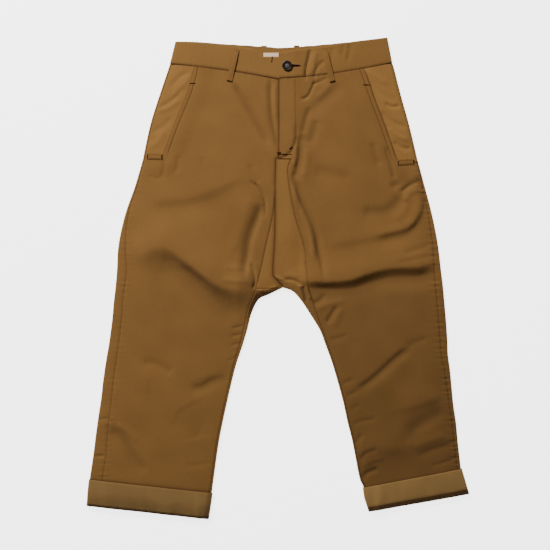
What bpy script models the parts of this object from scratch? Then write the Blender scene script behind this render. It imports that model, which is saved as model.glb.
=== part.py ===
"""Drop-crotch trousers in tan cotton twill, laid flat on their back.

+Y runs to the waist, +X to the wearer's left and +Z up from the floor. The origin is on the floor
under the middle of the garment. Lengths are in millimetres until a mesh is written in metres.
"""

import math
from collections import namedtuple

import bmesh
import bpy
from mathutils import Vector

MM = 0.001

# The leg tables run from the middle of the page; the garment's own middle is a little off it
MIDDLE = Vector((1.0, -1.5, 0.0))

# Cloth and gaps
CLOTH = 1.2
BAND = 1.8
SEAM = 0.4
LAP = CLOTH + SEAM
BAND_LAP = BAND + SEAM
UNDERLAP = 8.0

# Heights of the middle of each layer of cloth
FLOOR_LAYER = CLOTH / 2
EDGE_HEIGHT = 4.2
CROWN = 1.6
CROWN_REACH = 20.0
BAND_FLOOR_LAYER = LAP + BAND / 2
BAND_EDGE_HEIGHT = 5.3
BAND_CROWN = 0.6

# Folded edges
TURN_STEPS = 4
LEAST_TURN = 2.8

# Raised edges of the pieces that lie over their neighbours
RAISED_FLAT = 24.0
RAISED_REACH = 52.0
POCKET_LAP = 1.9
POCKET_FLAT = 18.0
POCKET_REACH = 48.0

# Rows of the leg tables
WAIST = 0
POCKET_END = 4
GUSSET_LEFT_TOP = 5
GUSSET_RIGHT_TOP = 7
CROTCH = 10
CUFF = 22
HEM = 24
LONG_ROW = 40.0

# The apex of the crotch and the seam down the middle of the back
CENTRE_BACK = 7.4

Leg = namedtuple("Leg", "seam_x seam_y edge_x edge_y side_x side_y turn")

# seam: inner edge of the front panel. edge: centre back, then the inner edge of the leg.
# side: outer edge. turn: how far the back panel turns over onto the front at the side.
RIGHT_LEG = [
    Leg(4, 362, CENTRE_BACK, 378, -196, 391, 2.8),
    Leg(4, 350, CENTRE_BACK, 366, -200, 379, 2.8),
    Leg(4, 325, CENTRE_BACK, 330, -214, 338, 2.8),
    Leg(4, 273, CENTRE_BACK, 276, -232, 281, 2.8),
    Leg(4, 221, CENTRE_BACK, 221, -245, 222, 2.8),
    Leg(-2, 215, CENTRE_BACK, 215, -246, 216, 3),
    Leg(-3, 167, CENTRE_BACK, 168, -260, 168, 4),
    Leg(-8, 112, CENTRE_BACK, 113, -279, 113, 6),
    Leg(-20, 58, CENTRE_BACK, 60, -291, 58, 13),
    Leg(-30, 12, CENTRE_BACK, 12, -294, 10, 18),
    Leg(-39, -21, 11, -20, -297, -23, 17),
    Leg(-45, -38, -16, -33, -300, -49, 17),
    Leg(-51, -53, -34, -42, -302, -73, 18),
    Leg(-57, -76, -47, -67, -305, -98, 18),
    Leg(-62, -100, -55, -98, -309, -126, 19),
    Leg(-69, -128, -64, -128, -314, -155, 20),
    Leg(-79, -161, -75, -161, -319, -189, 20),
    Leg(-87, -196, -84, -196, -323, -224, 20),
    Leg(-95, -231, -92, -231, -328, -257, 21),
    Leg(-103, -268, -100, -268, -333, -293, 22),
    Leg(-110, -304, -107, -304, -337, -325, 24),
    Leg(-116, -345, -113, -345, -341, -352, 24),
    Leg(-122.5, -393, -119.5, -393, -343.5, -370, 23),
    Leg(-125.5, -415, -122.5, -415, -346, -391.5, 23),
    Leg(-129.5, -439.5, -126.5, -439.5, -347.5, -415.5, 22),
]

LEFT_LEG = [
    Leg(4, 364, CENTRE_BACK, 378, 211, 393, 2.8),
    Leg(4, 352, CENTRE_BACK, 366, 215, 381, 2.8),
    Leg(4, 325, CENTRE_BACK, 330, 228, 331, 2.8),
    Leg(4, 273, CENTRE_BACK, 276, 243, 277, 2.8),
    Leg(4, 220.5, CENTRE_BACK, 221, 258, 214, 2.8),
    Leg(26, 216, CENTRE_BACK, 215, 260, 207, 3),
    Leg(19, 170, CENTRE_BACK, 168, 270, 170, 3.5),
    Leg(32, 115, CENTRE_BACK, 113, 284, 117, 6),
    Leg(48, 62, CENTRE_BACK, 60, 295, 62, 9),
    Leg(53, 16, CENTRE_BACK, 12, 301, 14, 12),
    Leg(56, -17, 11, -20, 305, -19, 13),
    Leg(63, -35, 29, -27, 307, -41, 13),
    Leg(68, -54, 44, -43, 309, -63, 13),
    Leg(76, -77, 60, -67, 311, -87, 13),
    Leg(84, -99, 79, -98, 313, -117, 13),
    Leg(93, -124, 89, -124, 314, -143, 12),
    Leg(104, -157, 101, -157, 318, -174, 10),
    Leg(115, -194, 112, -194, 321, -205, 8),
    Leg(125, -231, 122, -231, 324, -236, 7),
    Leg(133, -268, 130, -268, 329, -270, 6.5),
    Leg(142, -304, 139, -304, 332, -303, 6),
    Leg(154.5, -368, 151.5, -368, 336, -338, 6),
    Leg(161.5, -385, 158.5, -385, 337.5, -351, 6),
    Leg(164.5, -403, 161.5, -403, 343, -369, 6),
    Leg(171.5, -421.5, 168.5, -421.5, 349.5, -389.5, 6),
]

# Where the slanted pocket edge crosses the first rows, along X
RIGHT_POCKET = (-153, -158, -172, -192, -211)
LEFT_POCKET = (158, 162, 176, 197, 220)

# The edge of the left side where it lies over the right: fly, then gusset, rows of (x, y)
OVER_EDGE = ((4, 440), (4, 221), (-2, 216), (-3, 168), (-8, 113), (-8, 60), (-8, 8), (12, -16.5))

Band = namedtuple("Band", "front_y back_y side_x side_y front_bow back_bow")

# Lower and upper edge of each half of the waistband
RIGHT_BAND = (Band(362, 378, -196, 391, 3, 0), Band(403, 420, -186, 431.5, 8, 1))
LEFT_BAND = (Band(364, 378, 211, 393, -4.5, 0), Band(403, 420, 202, 439, 6, -1.5))
BAND_ROWS = 4
FLY_X = 4
BAND_UNDERLAP = 14.0
WAIST_BOW_ROWS = 3

Fold = namedtuple("Fold", "x0 y0 x1 y1 width height")

# The largest folds of the front, a ridge above zero and a trough below
FOLDS = [
    Fold(-275, 46, -205, 60, 20, 2.2),
    Fold(-205, 58, -120, -16, 19, 2.6),
    Fold(-120, -16, -58, -24, 15, 2.0),
    Fold(-196, 18, -122, -44, 16, -1.2),
    Fold(-221, 128, -167, 133, 16, -1.0),
    Fold(-167, 133, -64, 176, 16, -1.2),
    Fold(-34, 128, -64, 40, 14, -1.6),
    Fold(-66, 336, -30, 272, 14, -0.9),
    Fold(-240, -156, -200, -171, 13, -0.9),
    Fold(-157, -202, -98, -182, 15, -1.1),
    Fold(-305, -280, -258, -332, 16, -1.2),
    Fold(60, -8, 145, -2, 15, 2.2),
    Fold(145, -2, 206, 20, 16, 2.6),
    Fold(206, 20, 286, 22, 15, 2.2),
    Fold(110, -30, 210, -6, 16, -1.2),
    Fold(108, 348, 60, 292, 16, -1.4),
    Fold(60, 292, 56, 236, 14, -1.4),
    Fold(46, 182, 72, 74, 13, 1.4),
    Fold(263, 172, 228, 154, 14, -1.1),
    Fold(262, 120, 160, 68, 16, 1.2),
    Fold(246, -128, 150, -202, 15, 1.8),
    Fold(300, -228, 243, -271, 15, 1.1),
]
FOLD_REST = 34.0

Strip = namedtuple("Strip", "x0 y0 x1 y1 width")

# Belt loops from the waist edge down, and the welts at the foot of the pockets
FRONT_LOOPS = {
    "right": Strip(-74.5, 416, -87.5, 358, 10),
    "left": Strip(86.5, 418, 102, 357, 10),
}
BACK_LOOPS = {
    "right": Strip(-24, 424.5, -24, 369, 10),
    "left": Strip(36, 425, 36, 369, 10),
}
LOOP_BULGE = 1.3
WELTS = {
    "right": Strip(-210, 219.5, -239, 220.5, 9),
    "left": Strip(221, 210, 252, 208.5, 9),
}
WELT = 1.0

# Label on the inside of the waistband
LABEL = 0.8
LABEL_LEFT = -25.0
LABEL_RIGHT = 3.0
LABEL_TOP = 413.0
LABEL_FOOT = 398.0

# Waist button
BUTTON_X = 18.4
BUTTON_Y = 386.6
BUTTON_RADIUS = 9.0
BUTTON_HEIGHT = 3.2
BUTTON_RIM = 1.8
BUTTON_DISH = 1.1
BUTTON_HOLE = 1.0
BUTTON_HOLE_OFFSET = 2.0
BUTTON_SIDES = 32

FRONT_COLUMNS = 13
BACK_COLUMNS = 6
CUFF_COLUMNS = 14

# Linear colour, roughness
TWILL = ((0.25, 0.115, 0.028), 0.9)
FACING_TWILL = ((0.30, 0.15, 0.042), 0.9)
CUFF_TWILL = ((0.20, 0.11, 0.04), 0.92)
LABEL_WHITE = ((0.75, 0.72, 0.64), 0.85)
BUTTON_BROWN = ((0.03, 0.018, 0.012), 0.35)


def smooth(value):
    """Ease from 0 to 1."""
    value = max(0.0, min(1.0, value))
    return value * value * (3 - 2 * value)


def blend(first, second, part):
    return first + (second - first) * part


def read_row(table, row):
    """Linear reading of a table between its rows."""
    index = min(int(row), len(table) - 2)
    part = row - index
    return type(table[0])(*(blend(a, b, part) for a, b in zip(table[index], table[index + 1])))


def read_list(values, row):
    index = min(int(row), len(values) - 2)
    return blend(values[index], values[index + 1], row - index)


def rows_of(table, first, last):
    """Row numbers from first to last, with a row between two that lie far apart."""
    rows = [float(first)]
    for index in range(first, last):
        here = Vector((table[index].side_x, table[index].side_y))
        there = Vector((table[index + 1].side_x, table[index + 1].side_y))
        if (there - here).length > LONG_ROW:
            rows.append(index + 0.5)
        rows.append(index + 1.0)
    return rows


def distance_to_line(x, y, x0, y0, x1, y1):
    """Distance to a straight stretch, and how far along it the nearest point lies."""
    run = Vector((x1 - x0, y1 - y0))
    along = ((x - x0) * run.x + (y - y0) * run.y) / run.length_squared
    along = max(0.0, min(1.0, along))
    return math.hypot(x - x0 - run.x * along, y - y0 - run.y * along), along


def distance_to_path(x, y, path):
    """Distance to a chain of straight stretches."""
    return min(distance_to_line(x, y, *a, *b)[0] for a, b in zip(path, path[1:]))


class Side:
    """One half of the garment: its leg table and the outlines worked out from it."""

    def __init__(self, name, sign, legs, pocket, band):
        self.name = name
        self.sign = sign
        self.legs = legs
        self.pocket = pocket
        self.band = band
        self.outer_path = [(leg.side_x, leg.side_y) for leg in legs]
        self.inner_path = [(leg.edge_x, leg.edge_y) for leg in legs[CROTCH:]]
        self.pocket_path = [(x, self.front_point(row, x)[1]) for row, x in enumerate(pocket)]
        corner = legs[POCKET_END + 1]
        self.pocket_path.append((corner.side_x, corner.side_y))

    def side_seam(self, row):
        """The seam between front and back near the outer edge."""
        leg = read_row(self.legs, row)
        inward = Vector((leg.seam_x - leg.side_x, leg.seam_y - leg.side_y)).normalized()
        return Vector((leg.side_x, leg.side_y)) + inward * leg.turn

    def front_point(self, row, x):
        """The point of a row of the front at the given X."""
        leg = read_row(self.legs, row)
        end = self.side_seam(row)
        part = (x - leg.seam_x) / (end.x - leg.seam_x)
        bow = (self.band[0].front_bow) * max(0.0, 1 - row / WAIST_BOW_ROWS)
        y = blend(leg.seam_y, end.y, part) + bow * 4 * max(0.0, part * (1 - part))
        return x, y

    def edge_normal(self, row):
        """Direction into the cloth from the inner edge of the leg."""
        before = read_row(self.legs, max(row - 0.5, CROTCH))
        after = read_row(self.legs, min(row + 0.5, HEM))
        run = Vector((after.edge_x - before.edge_x, after.edge_y - before.edge_y)).normalized()
        return Vector((-run.y, run.x)) * self.sign


RIGHT = Side("right", -1, RIGHT_LEG, RIGHT_POCKET, RIGHT_BAND)
LEFT = Side("left", 1, LEFT_LEG, LEFT_POCKET, LEFT_BAND)


def fold_height(x, y):
    """Sum of the folds at a point."""
    height = 0.0
    for fold in FOLDS:
        gap, along = distance_to_line(x, y, fold.x0, fold.y0, fold.x1, fold.y1)
        ends = smooth(along / 0.15 + 0.4) * smooth((1 - along) / 0.15 + 0.4)
        height += fold.height * math.exp(-((gap / fold.width) ** 2) * 2.5) * ends
    return height


def top_height(side, x, y):
    """Height of the middle of the upper layer of cloth."""
    from_side = distance_to_path(x, y, side.outer_path)
    from_edge = distance_to_path(x, y, side.inner_path)
    crown = 1.0
    calm = 1.0
    for gap in (from_side, from_edge):
        crown *= 1 - math.exp(-gap / CROWN_REACH)
        calm *= 0.35 + 0.65 * smooth(gap / 30)
    hem = side.legs[CUFF]
    to_hem = distance_to_line(x, y, hem.edge_x, hem.edge_y, hem.side_x, hem.side_y)[0]
    beyond = (y - hem.edge_y) * (hem.side_x - hem.edge_x) - (x - hem.edge_x) * (hem.side_y - hem.edge_y)
    calm *= smooth(to_hem / FOLD_REST) if beyond * side.sign > 0 else 0.0
    waist = side.legs[WAIST]
    calm *= smooth((waist.seam_y - 4 - y) / FOLD_REST)
    return EDGE_HEIGHT + CROWN * crown + fold_height(x, y) * calm


def over_raise(x, y, rise):
    """Extra height of the left side where it lies over the right."""
    gap = distance_to_path(x, y, OVER_EDGE)
    return rise * (1 - smooth((gap - RAISED_FLAT) / (RAISED_REACH - RAISED_FLAT)))


def pocket_raise(side, x, y):
    """Extra height of the front along the pocket edge."""
    gap = distance_to_path(x, y, side.pocket_path)
    return POCKET_LAP * (1 - smooth((gap - POCKET_FLAT) / (POCKET_REACH - POCKET_FLAT)))


def front_height(side, x, y):
    height = top_height(side, x, y) + pocket_raise(side, x, y)
    if side is LEFT:
        height += over_raise(x, y, LAP)
    return height


def band_height(side, x, y):
    """Height of the middle of the upper layer of the waistband."""
    lower, upper = side.band
    gap = distance_to_line(x, y, lower.side_x, lower.side_y, upper.side_x, upper.side_y)[0]
    height = BAND_EDGE_HEIGHT + BAND_CROWN * (1 - math.exp(-gap / CROWN_REACH))
    if side is LEFT:
        height += over_raise(x, y, BAND_LAP)
    return height


def floor_height(row):
    """Height of the middle of the lower layer, lifted over the back loops and the cuff."""
    waist_lift = LAP * (1 - smooth((row - 1) * 1.6))
    cuff_lift = LAP * smooth(row - CUFF + 1)
    return FLOOR_LAYER + max(waist_lift, cuff_lift)


def turned_edge(outer, inward, low, high):
    """Half a circle from the lower layer round the edge to the upper layer."""
    radius = (high - low) / 2
    points = []
    for step in range(TURN_STEPS + 1):
        angle = math.pi * step / TURN_STEPS
        place = outer + inward * radius * (1 - math.sin(angle))
        points.append(Vector((place.x, place.y, low + radius * (1 - math.cos(angle)))))
    return points


def sheet(name, grids, thickness, collection, material):
    """One piece of cloth: grids of points welded along shared edges and thickened."""
    mesh_data = bmesh.new()
    for grid in grids:
        rows = len(grid) - 1
        columns = len(grid[0]) - 1
        made = bmesh.ops.create_grid(mesh_data, x_segments=columns, y_segments=rows, size=1)
        for vertex in made["verts"]:
            column = round((vertex.co.x + 1) / 2 * columns)
            row = round((vertex.co.y + 1) / 2 * rows)
            vertex.co = (grid[row][column] - MIDDLE) * MM
    bmesh.ops.remove_doubles(mesh_data, verts=mesh_data.verts, dist=0.00001)
    bmesh.ops.recalc_face_normals(mesh_data, faces=mesh_data.faces)
    mesh = bpy.data.meshes.new(name)
    mesh_data.to_mesh(mesh)
    mesh_data.free()
    mesh.shade_smooth()
    piece = bpy.data.objects.new(name, mesh)
    collection.objects.link(piece)
    mesh.materials.append(material)
    shell = piece.modifiers.new("Cloth", "SOLIDIFY")
    shell.thickness = thickness * MM
    shell.offset = 0.0
    return piece


def row_of_points(start, end, columns, bow, height):
    """Points of a row between two places, with an optional bow towards the waist."""
    points = []
    for column in range(columns + 1):
        part = column / columns
        x = blend(start.x, end.x, part)
        y = blend(start.y, end.y, part) + bow * 4 * part * (1 - part)
        points.append(Vector((x, y, height(x, y))))
    return points


def front_row(side, row, start_x, end_x, columns, height):
    """Points of a row of the front between two values of X."""
    points = []
    for column in range(columns + 1):
        x, y = side.front_point(row, blend(start_x, end_x, column / columns))
        points.append(Vector((x, y, height(x, y))))
    return points


def make_front(side, collection, material):
    """Front panel, from the fly, gusset and inseam out to the pocket edge and the side seam."""
    grid = []
    for row in rows_of(side.legs, WAIST, HEM):
        leg = read_row(side.legs, row)
        start_x = leg.seam_x
        if side is RIGHT:
            start_x += UNDERLAP * (1 - smooth(row - GUSSET_RIGHT_TOP + 1)) - SEAM / 2
        else:
            start_x += SEAM / 2
        end_x = side.side_seam(row).x - side.sign * SEAM / 2
        if row <= POCKET_END:
            end_x = read_list(side.pocket, row)
        grid.append(front_row(side, row, start_x, end_x, FRONT_COLUMNS, lambda x, y: front_height(side, x, y)))
    return sheet("front_" + side.name, [grid], CLOTH, collection, material)


def make_facing(side, collection, material):
    """Hip facing: shows outside the pocket edge and runs on under the front."""
    grid = []
    for row in rows_of(side.legs, WAIST, POCKET_END) + [POCKET_END + 0.6]:
        slant = read_list(side.pocket, min(row, POCKET_END))
        start_x = slant - side.sign * UNDERLAP
        end_x = side.side_seam(row).x - side.sign * SEAM / 2
        grid.append(front_row(side, row, start_x, end_x, 5, lambda x, y: top_height(side, x, y)))
    return sheet("hip_facing_" + side.name, [grid], CLOTH, collection, material)


def make_back(side, collection, material):
    """Back panel: flat on the floor, turned up round the side and round the inner edge of the leg."""
    panel = []
    strip = []
    for row in rows_of(side.legs, WAIST, HEM):
        leg = read_row(side.legs, row)
        outer = Vector((leg.side_x, leg.side_y))
        edge = Vector((leg.edge_x + side.sign * SEAM / 2, leg.edge_y))
        low = floor_height(row)
        inward = (edge - outer).normalized()
        high = top_height(side, *(outer + inward * (EDGE_HEIGHT - low) / 2))
        turn = turned_edge(outer, inward, low, high)
        seam = side.side_seam(row) - inward * SEAM / 2
        over = row_of_points(turn[-1], seam, 2, 0.0, lambda x, y: top_height(side, x, y))
        start = edge
        if row >= CROTCH:
            normal = side.edge_normal(row)
            edge_high = top_height(side, *(edge + normal * (EDGE_HEIGHT - low) / 2))
            inner = turned_edge(edge, normal, low, edge_high)
            start = inner[0]
            inseam = Vector((leg.seam_x - side.sign * SEAM / 2, leg.seam_y))
            if row == CROTCH:
                inseam.y -= SEAM
            inner_over = row_of_points(inner[-1], inseam, 2, 0.0, lambda x, y: top_height(side, x, y))
            strip.append(inner + inner_over[1:])
        flat = row_of_points(start, turn[0], BACK_COLUMNS, 0.0, lambda x, y: low)
        panel.append(flat + turn[1:] + over[1:])
    return sheet("back_" + side.name, [panel, strip], CLOTH, collection, material)


def over_edge_x(y):
    """X of the over-lapping edge at a height of the page."""
    for (x0, y0), (x1, y1) in zip(OVER_EDGE, OVER_EDGE[1:]):
        if y1 <= y <= y0:
            return blend(x0, x1, (y0 - y) / (y0 - y1))
    return OVER_EDGE[-1][0]


def make_gusset_left(collection, material):
    """Left half of the crotch gusset, which lies over the right half."""
    grid = []
    for row in rows_of(LEFT_LEG, GUSSET_LEFT_TOP, CROTCH):
        leg = read_row(LEFT_LEG, row)
        end = Vector((leg.seam_x - SEAM / 2, leg.seam_y))
        start_y = read_row(RIGHT_LEG, row).seam_y
        if row == CROTCH:
            start_y = OVER_EDGE[-1][1]
        start = Vector((over_edge_x(start_y), start_y))
        grid.append(
            row_of_points(start, end, 5, 0.0, lambda x, y: top_height(LEFT, x, y) + over_raise(x, y, LAP))
        )
    return sheet("gusset_left", [grid], CLOTH, collection, material)


def make_gusset_right(collection, material):
    """Right half of the crotch gusset, from the front's seam to under the left half."""
    grid = []
    for row in rows_of(RIGHT_LEG, GUSSET_RIGHT_TOP, CROTCH):
        leg = read_row(RIGHT_LEG, row)
        start = Vector((leg.seam_x + SEAM / 2, leg.seam_y))
        end = Vector((over_edge_x(leg.seam_y) + UNDERLAP, leg.seam_y))
        if row == CROTCH:
            end = Vector(OVER_EDGE[-1]) - Vector((SEAM, SEAM * 2))
        grid.append(row_of_points(start, end, 4, 0.0, lambda x, y: top_height(RIGHT, x, y)))
    return sheet("gusset_right", [grid], CLOTH, collection, material)


def make_band(side, collection, material):
    """Half of the waistband, from the centre front round the side to the centre back."""
    grid = []
    start_x = FLY_X + BAND_UNDERLAP if side is RIGHT else FLY_X
    for step in range(BAND_ROWS + 1):
        line = read_row(side.band, step / BAND_ROWS)
        lift = SEAM if step == 0 else 0.0
        outer = Vector((line.side_x, line.side_y + lift))
        front = Vector((FLY_X, line.front_y + lift))
        back = Vector((CENTRE_BACK + side.sign * SEAM / 2, line.back_y + lift))
        inward = (front - outer).normalized()
        high = band_height(side, outer.x, outer.y)
        turn = turned_edge(outer, inward, BAND_FLOOR_LAYER, high)
        start = Vector((start_x, blend(outer.y, front.y, (start_x - outer.x) / (front.x - outer.x))))
        over = row_of_points(turn[-1], start, 12, line.front_bow, lambda x, y: band_height(side, x, y))
        under = row_of_points(back, turn[0], 6, line.back_bow, lambda x, y: BAND_FLOOR_LAYER)
        grid.append(under + turn[1:] + over[1:])
    return sheet("waistband_" + side.name, [grid], BAND, collection, material)


def cuff_ring(side, row, shrink, drop):
    """A closed ring round the leg, shrunk towards it and moved along it."""
    leg = read_row(side.legs, row)
    edge = Vector((leg.edge_x, leg.edge_y))
    outer = Vector((leg.side_x, leg.side_y))
    across = (outer - edge).normalized()
    down = Vector((across.y, -across.x)) * side.sign
    reach = LAP - shrink
    edge = edge - across * reach + down * drop
    outer = outer + across * reach + down * drop
    low = FLOOR_LAYER + shrink
    ring = []
    sides = ((edge, across), (outer, -across))
    turns = []
    for place, inward in sides:
        high = top_height(side, *(place + inward * 2)) + LAP - shrink
        turns.append(turned_edge(place, inward, low, high))
    ring += turns[0]
    top = row_of_points(
        turns[0][-1], turns[1][-1], CUFF_COLUMNS, 0.0, lambda x, y: top_height(side, x, y) + LAP - shrink
    )
    ring += top[1:-1]
    ring += reversed(turns[1])
    floor = row_of_points(turns[1][0], turns[0][0], CUFF_COLUMNS - 4, 0.0, lambda x, y: low)
    ring += floor[1:]
    return ring


def make_cuff(side, collection, material):
    """Turned-up cuff: a flat tube round the end of the leg with its fold at the foot."""
    grid = [cuff_ring(side, CUFF + along, 0.0, 0.0) for along in (0.15, 0.7, 1.3, 2.0)]
    bend = LAP / 2
    for step in range(1, 5):
        angle = math.pi * step / 4
        drop = CLOTH + math.sin(angle) * bend
        grid.append(cuff_ring(side, HEM, bend * (1 - math.cos(angle)), drop))
    return sheet("cuff_" + side.name, [grid], CLOTH, collection, material)


def make_strip(name, strip, rows, thickness, height, collection, material):
    """A flat strip of cloth along a straight line, two cells wide."""
    start = Vector((strip.x0, strip.y0))
    end = Vector((strip.x1, strip.y1))
    run = (end - start).normalized()
    across = Vector((-run.y, run.x)) * strip.width / 2
    grid = []
    for step in range(rows + 1):
        part = step / rows
        middle = start.lerp(end, part)
        left = middle - across
        grid.append(row_of_points(left, middle + across, 2, 0.0, lambda x, y: height(x, y, part)))
    return sheet(name, [grid], thickness, collection, material)


def loop_height(side):
    """Height of a front belt loop: over the waistband, then down onto the front."""

    def height(x, y, part):
        band = band_height(side, x, y) + BAND / 2
        panel = front_height(side, x, y) + CLOTH / 2
        seam_y = side.front_point(WAIST, x)[1]
        under = blend(panel, max(band, panel), smooth((y - seam_y + 9) / 7))
        return under + SEAM + CLOTH / 2 + LOOP_BULGE * math.sin(math.pi * min(1.0, part * 1.15))

    return height


def make_button(collection, cutters, material):
    """Four-hole button with a raised rim."""
    base = band_height(LEFT, BUTTON_X, BUTTON_Y) + BAND / 2 + SEAM
    top = BUTTON_HEIGHT
    dish = BUTTON_HEIGHT - BUTTON_DISH
    profile = (
        (0.0, dish),
        (BUTTON_RADIUS - BUTTON_RIM - 1.0, dish),
        (BUTTON_RADIUS - BUTTON_RIM, top - 0.2),
        (BUTTON_RADIUS - BUTTON_RIM / 2, top),
        (BUTTON_RADIUS - 0.4, top - 0.3),
        (BUTTON_RADIUS, top - 1.0),
        (BUTTON_RADIUS - 0.6, 0.8),
        (BUTTON_RADIUS - 2.4, 0.0),
        (0.0, 0.0),
    )
    points = [(radius * MM, 0.0, height * MM) for radius, height in profile]
    edges = [(index, index + 1) for index in range(len(points) - 1)]
    mesh = bpy.data.meshes.new("button")
    mesh.from_pydata(points, edges, [])
    button = bpy.data.objects.new("button", mesh)
    button.location = (Vector((BUTTON_X, BUTTON_Y, base)) - MIDDLE) * MM
    collection.objects.link(button)
    mesh.materials.append(material)
    screw = button.modifiers.new("Turn", "SCREW")
    screw.steps = BUTTON_SIDES
    screw.render_steps = BUTTON_SIDES
    screw.use_merge_vertices = True
    screw.merge_threshold = 0.00001
    screw.use_smooth_shade = True
    holes = bmesh.new()
    for quarter in range(4):
        angle = math.pi / 4 + math.pi / 2 * quarter
        made = bmesh.ops.create_cone(
            holes, cap_ends=True, segments=10, radius1=BUTTON_HOLE * MM, radius2=BUTTON_HOLE * MM,
            depth=BUTTON_HEIGHT * 2 * MM
        )
        shift = Vector((math.cos(angle), math.sin(angle), 0)) * BUTTON_HOLE_OFFSET * MM
        bmesh.ops.translate(holes, verts=made["verts"], vec=shift)
    cutter_mesh = bpy.data.meshes.new("button_holes")
    holes.to_mesh(cutter_mesh)
    holes.free()
    cutter = bpy.data.objects.new("button_holes", cutter_mesh)
    cutter.location = button.location
    cutter.hide_render = True
    cutter.display_type = "WIRE"
    cutters.objects.link(cutter)
    cut = button.modifiers.new("Holes", "BOOLEAN")
    cut.object = cutter
    return button


def make_label(collection, material):
    """Plain label on the inside of the waistband at the back."""
    height = BAND_FLOOR_LAYER + BAND / 2 + SEAM / 2 + LABEL / 2
    mesh_data = bmesh.new()
    bmesh.ops.create_cube(mesh_data, size=1)
    size = Vector((LABEL_RIGHT - LABEL_LEFT, LABEL_TOP - LABEL_FOOT, LABEL)) * MM
    bmesh.ops.scale(mesh_data, vec=size, verts=mesh_data.verts)
    mesh = bpy.data.meshes.new("label")
    mesh_data.to_mesh(mesh)
    mesh_data.free()
    label = bpy.data.objects.new("label", mesh)
    middle = Vector(((LABEL_LEFT + LABEL_RIGHT) / 2, (LABEL_TOP + LABEL_FOOT) / 2, height))
    label.location = (middle - MIDDLE) * MM
    collection.objects.link(label)
    mesh.materials.append(material)
    return label


def principled(name, finish):
    """Principled material from a colour and a roughness."""
    colour, roughness = finish
    material = bpy.data.materials.new(name)
    material.use_nodes = True
    shader = material.node_tree.nodes["Principled BSDF"]
    shader.inputs["Base Color"].default_value = (*colour, 1.0)
    shader.inputs["Roughness"].default_value = roughness
    shader.inputs["Metallic"].default_value = 0.0
    return material


def main():
    for thing in list(bpy.data.objects):
        bpy.data.objects.remove(thing)
    trousers = bpy.data.collections.new("trousers")
    cutters = bpy.data.collections.new("cutters")
    bpy.context.scene.collection.children.link(trousers)
    bpy.context.scene.collection.children.link(cutters)
    twill = principled("twill", TWILL)
    facing = principled("facing_twill", FACING_TWILL)
    cuff = principled("cuff_twill", CUFF_TWILL)
    for side in (RIGHT, LEFT):
        make_back(side, trousers, twill)
        make_front(side, trousers, twill)
        make_facing(side, trousers, facing)
        make_band(side, trousers, facing)
        make_cuff(side, trousers, cuff)
        front_loop = FRONT_LOOPS[side.name]
        make_strip("belt_loop_front_" + side.name, front_loop, 9, CLOTH, loop_height(side), trousers, twill)
        back_loop = BACK_LOOPS[side.name]
        make_strip("belt_loop_back_" + side.name, back_loop, 3, CLOTH, lambda x, y, part: FLOOR_LAYER,
                   trousers, twill)
        make_strip(
            "pocket_welt_" + side.name, WELTS[side.name], 4, WELT,
            lambda x, y, part: front_height(side, x, y) + CLOTH / 2 + SEAM + WELT / 2, trousers, twill
        )
    make_gusset_right(trousers, twill)
    make_gusset_left(trousers, twill)
    make_label(trousers, principled("label_white", LABEL_WHITE))
    make_button(trousers, cutters, principled("button_brown", BUTTON_BROWN))


main()
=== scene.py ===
"""Looks for a pair of drop-crotch cotton twill trousers, laid flat on their back."""

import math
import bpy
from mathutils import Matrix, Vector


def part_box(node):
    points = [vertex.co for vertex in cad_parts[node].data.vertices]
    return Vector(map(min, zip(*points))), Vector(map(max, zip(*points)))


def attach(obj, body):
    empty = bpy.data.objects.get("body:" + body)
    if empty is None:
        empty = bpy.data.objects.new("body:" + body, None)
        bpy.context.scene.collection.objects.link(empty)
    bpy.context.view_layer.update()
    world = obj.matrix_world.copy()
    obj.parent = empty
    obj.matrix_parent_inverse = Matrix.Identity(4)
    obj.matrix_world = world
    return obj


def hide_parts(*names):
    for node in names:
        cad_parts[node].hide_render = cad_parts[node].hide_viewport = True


bl_info = {
    "name": "Drop-crotch trousers",
    "version": (1, 0, 0),
    "blender": (4, 5, 0),
    "location": "View3D > Sidebar > Trousers",
    "description": "Builds the cloth, stitching and button of trousers laid flat",
    "category": "Object",
}

from collections import namedtuple

import bpy
import numpy as np
from mathutils import Vector

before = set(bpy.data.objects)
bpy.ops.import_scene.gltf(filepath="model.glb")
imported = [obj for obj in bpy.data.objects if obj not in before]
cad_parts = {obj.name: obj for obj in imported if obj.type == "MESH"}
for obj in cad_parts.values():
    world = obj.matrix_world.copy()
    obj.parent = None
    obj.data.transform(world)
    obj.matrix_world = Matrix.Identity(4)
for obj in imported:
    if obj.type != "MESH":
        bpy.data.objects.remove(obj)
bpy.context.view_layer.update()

MM = 0.001

# The photograph looks straight down; a pixel of it is this long on the cloth, in millimetres
PIXEL = 1.84
PAGE_WIDTH = 550
PAGE_MIDDLE_X = 277.54
PAGE_MIDDLE_Y = 277.32

# Sizes are in millimetres. Thickness of a layer of cloth and of the waistband
CLOTH = 1.0
BAND = 1.7

# Gap along a seam, rise of one layer over another, and how far one runs on under the next
SEAM = 0.12
LAP = 1.6
BAND_LAP = 2.2
UNDERLAP = 8.0

# Heights of the middle of each layer of cloth
FLOOR_LAYER = 0.6
EDGE_HEIGHT = 4.2
CROWN = 2.4
CROWN_REACH = 20.0
BAND_FLOOR_LAYER = 2.5
BAND_EDGE_HEIGHT = 5.3
BAND_CROWN = 1.0
TURN_STEPS = 12

# The upper layer never comes lower than this; it eases off over about this much
LOWEST = 2.0
SOFTEN = 0.5

# The left side lies over the right: its rise is whole this far from its edge, then eases off
RAISED_FLAT = 24.0
RAISED_EASE = 28.0

# The same for the front along its pocket edge
POCKET_LAP = 1.9
POCKET_FLAT = 14.0
POCKET_EASE = 30.0

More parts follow.
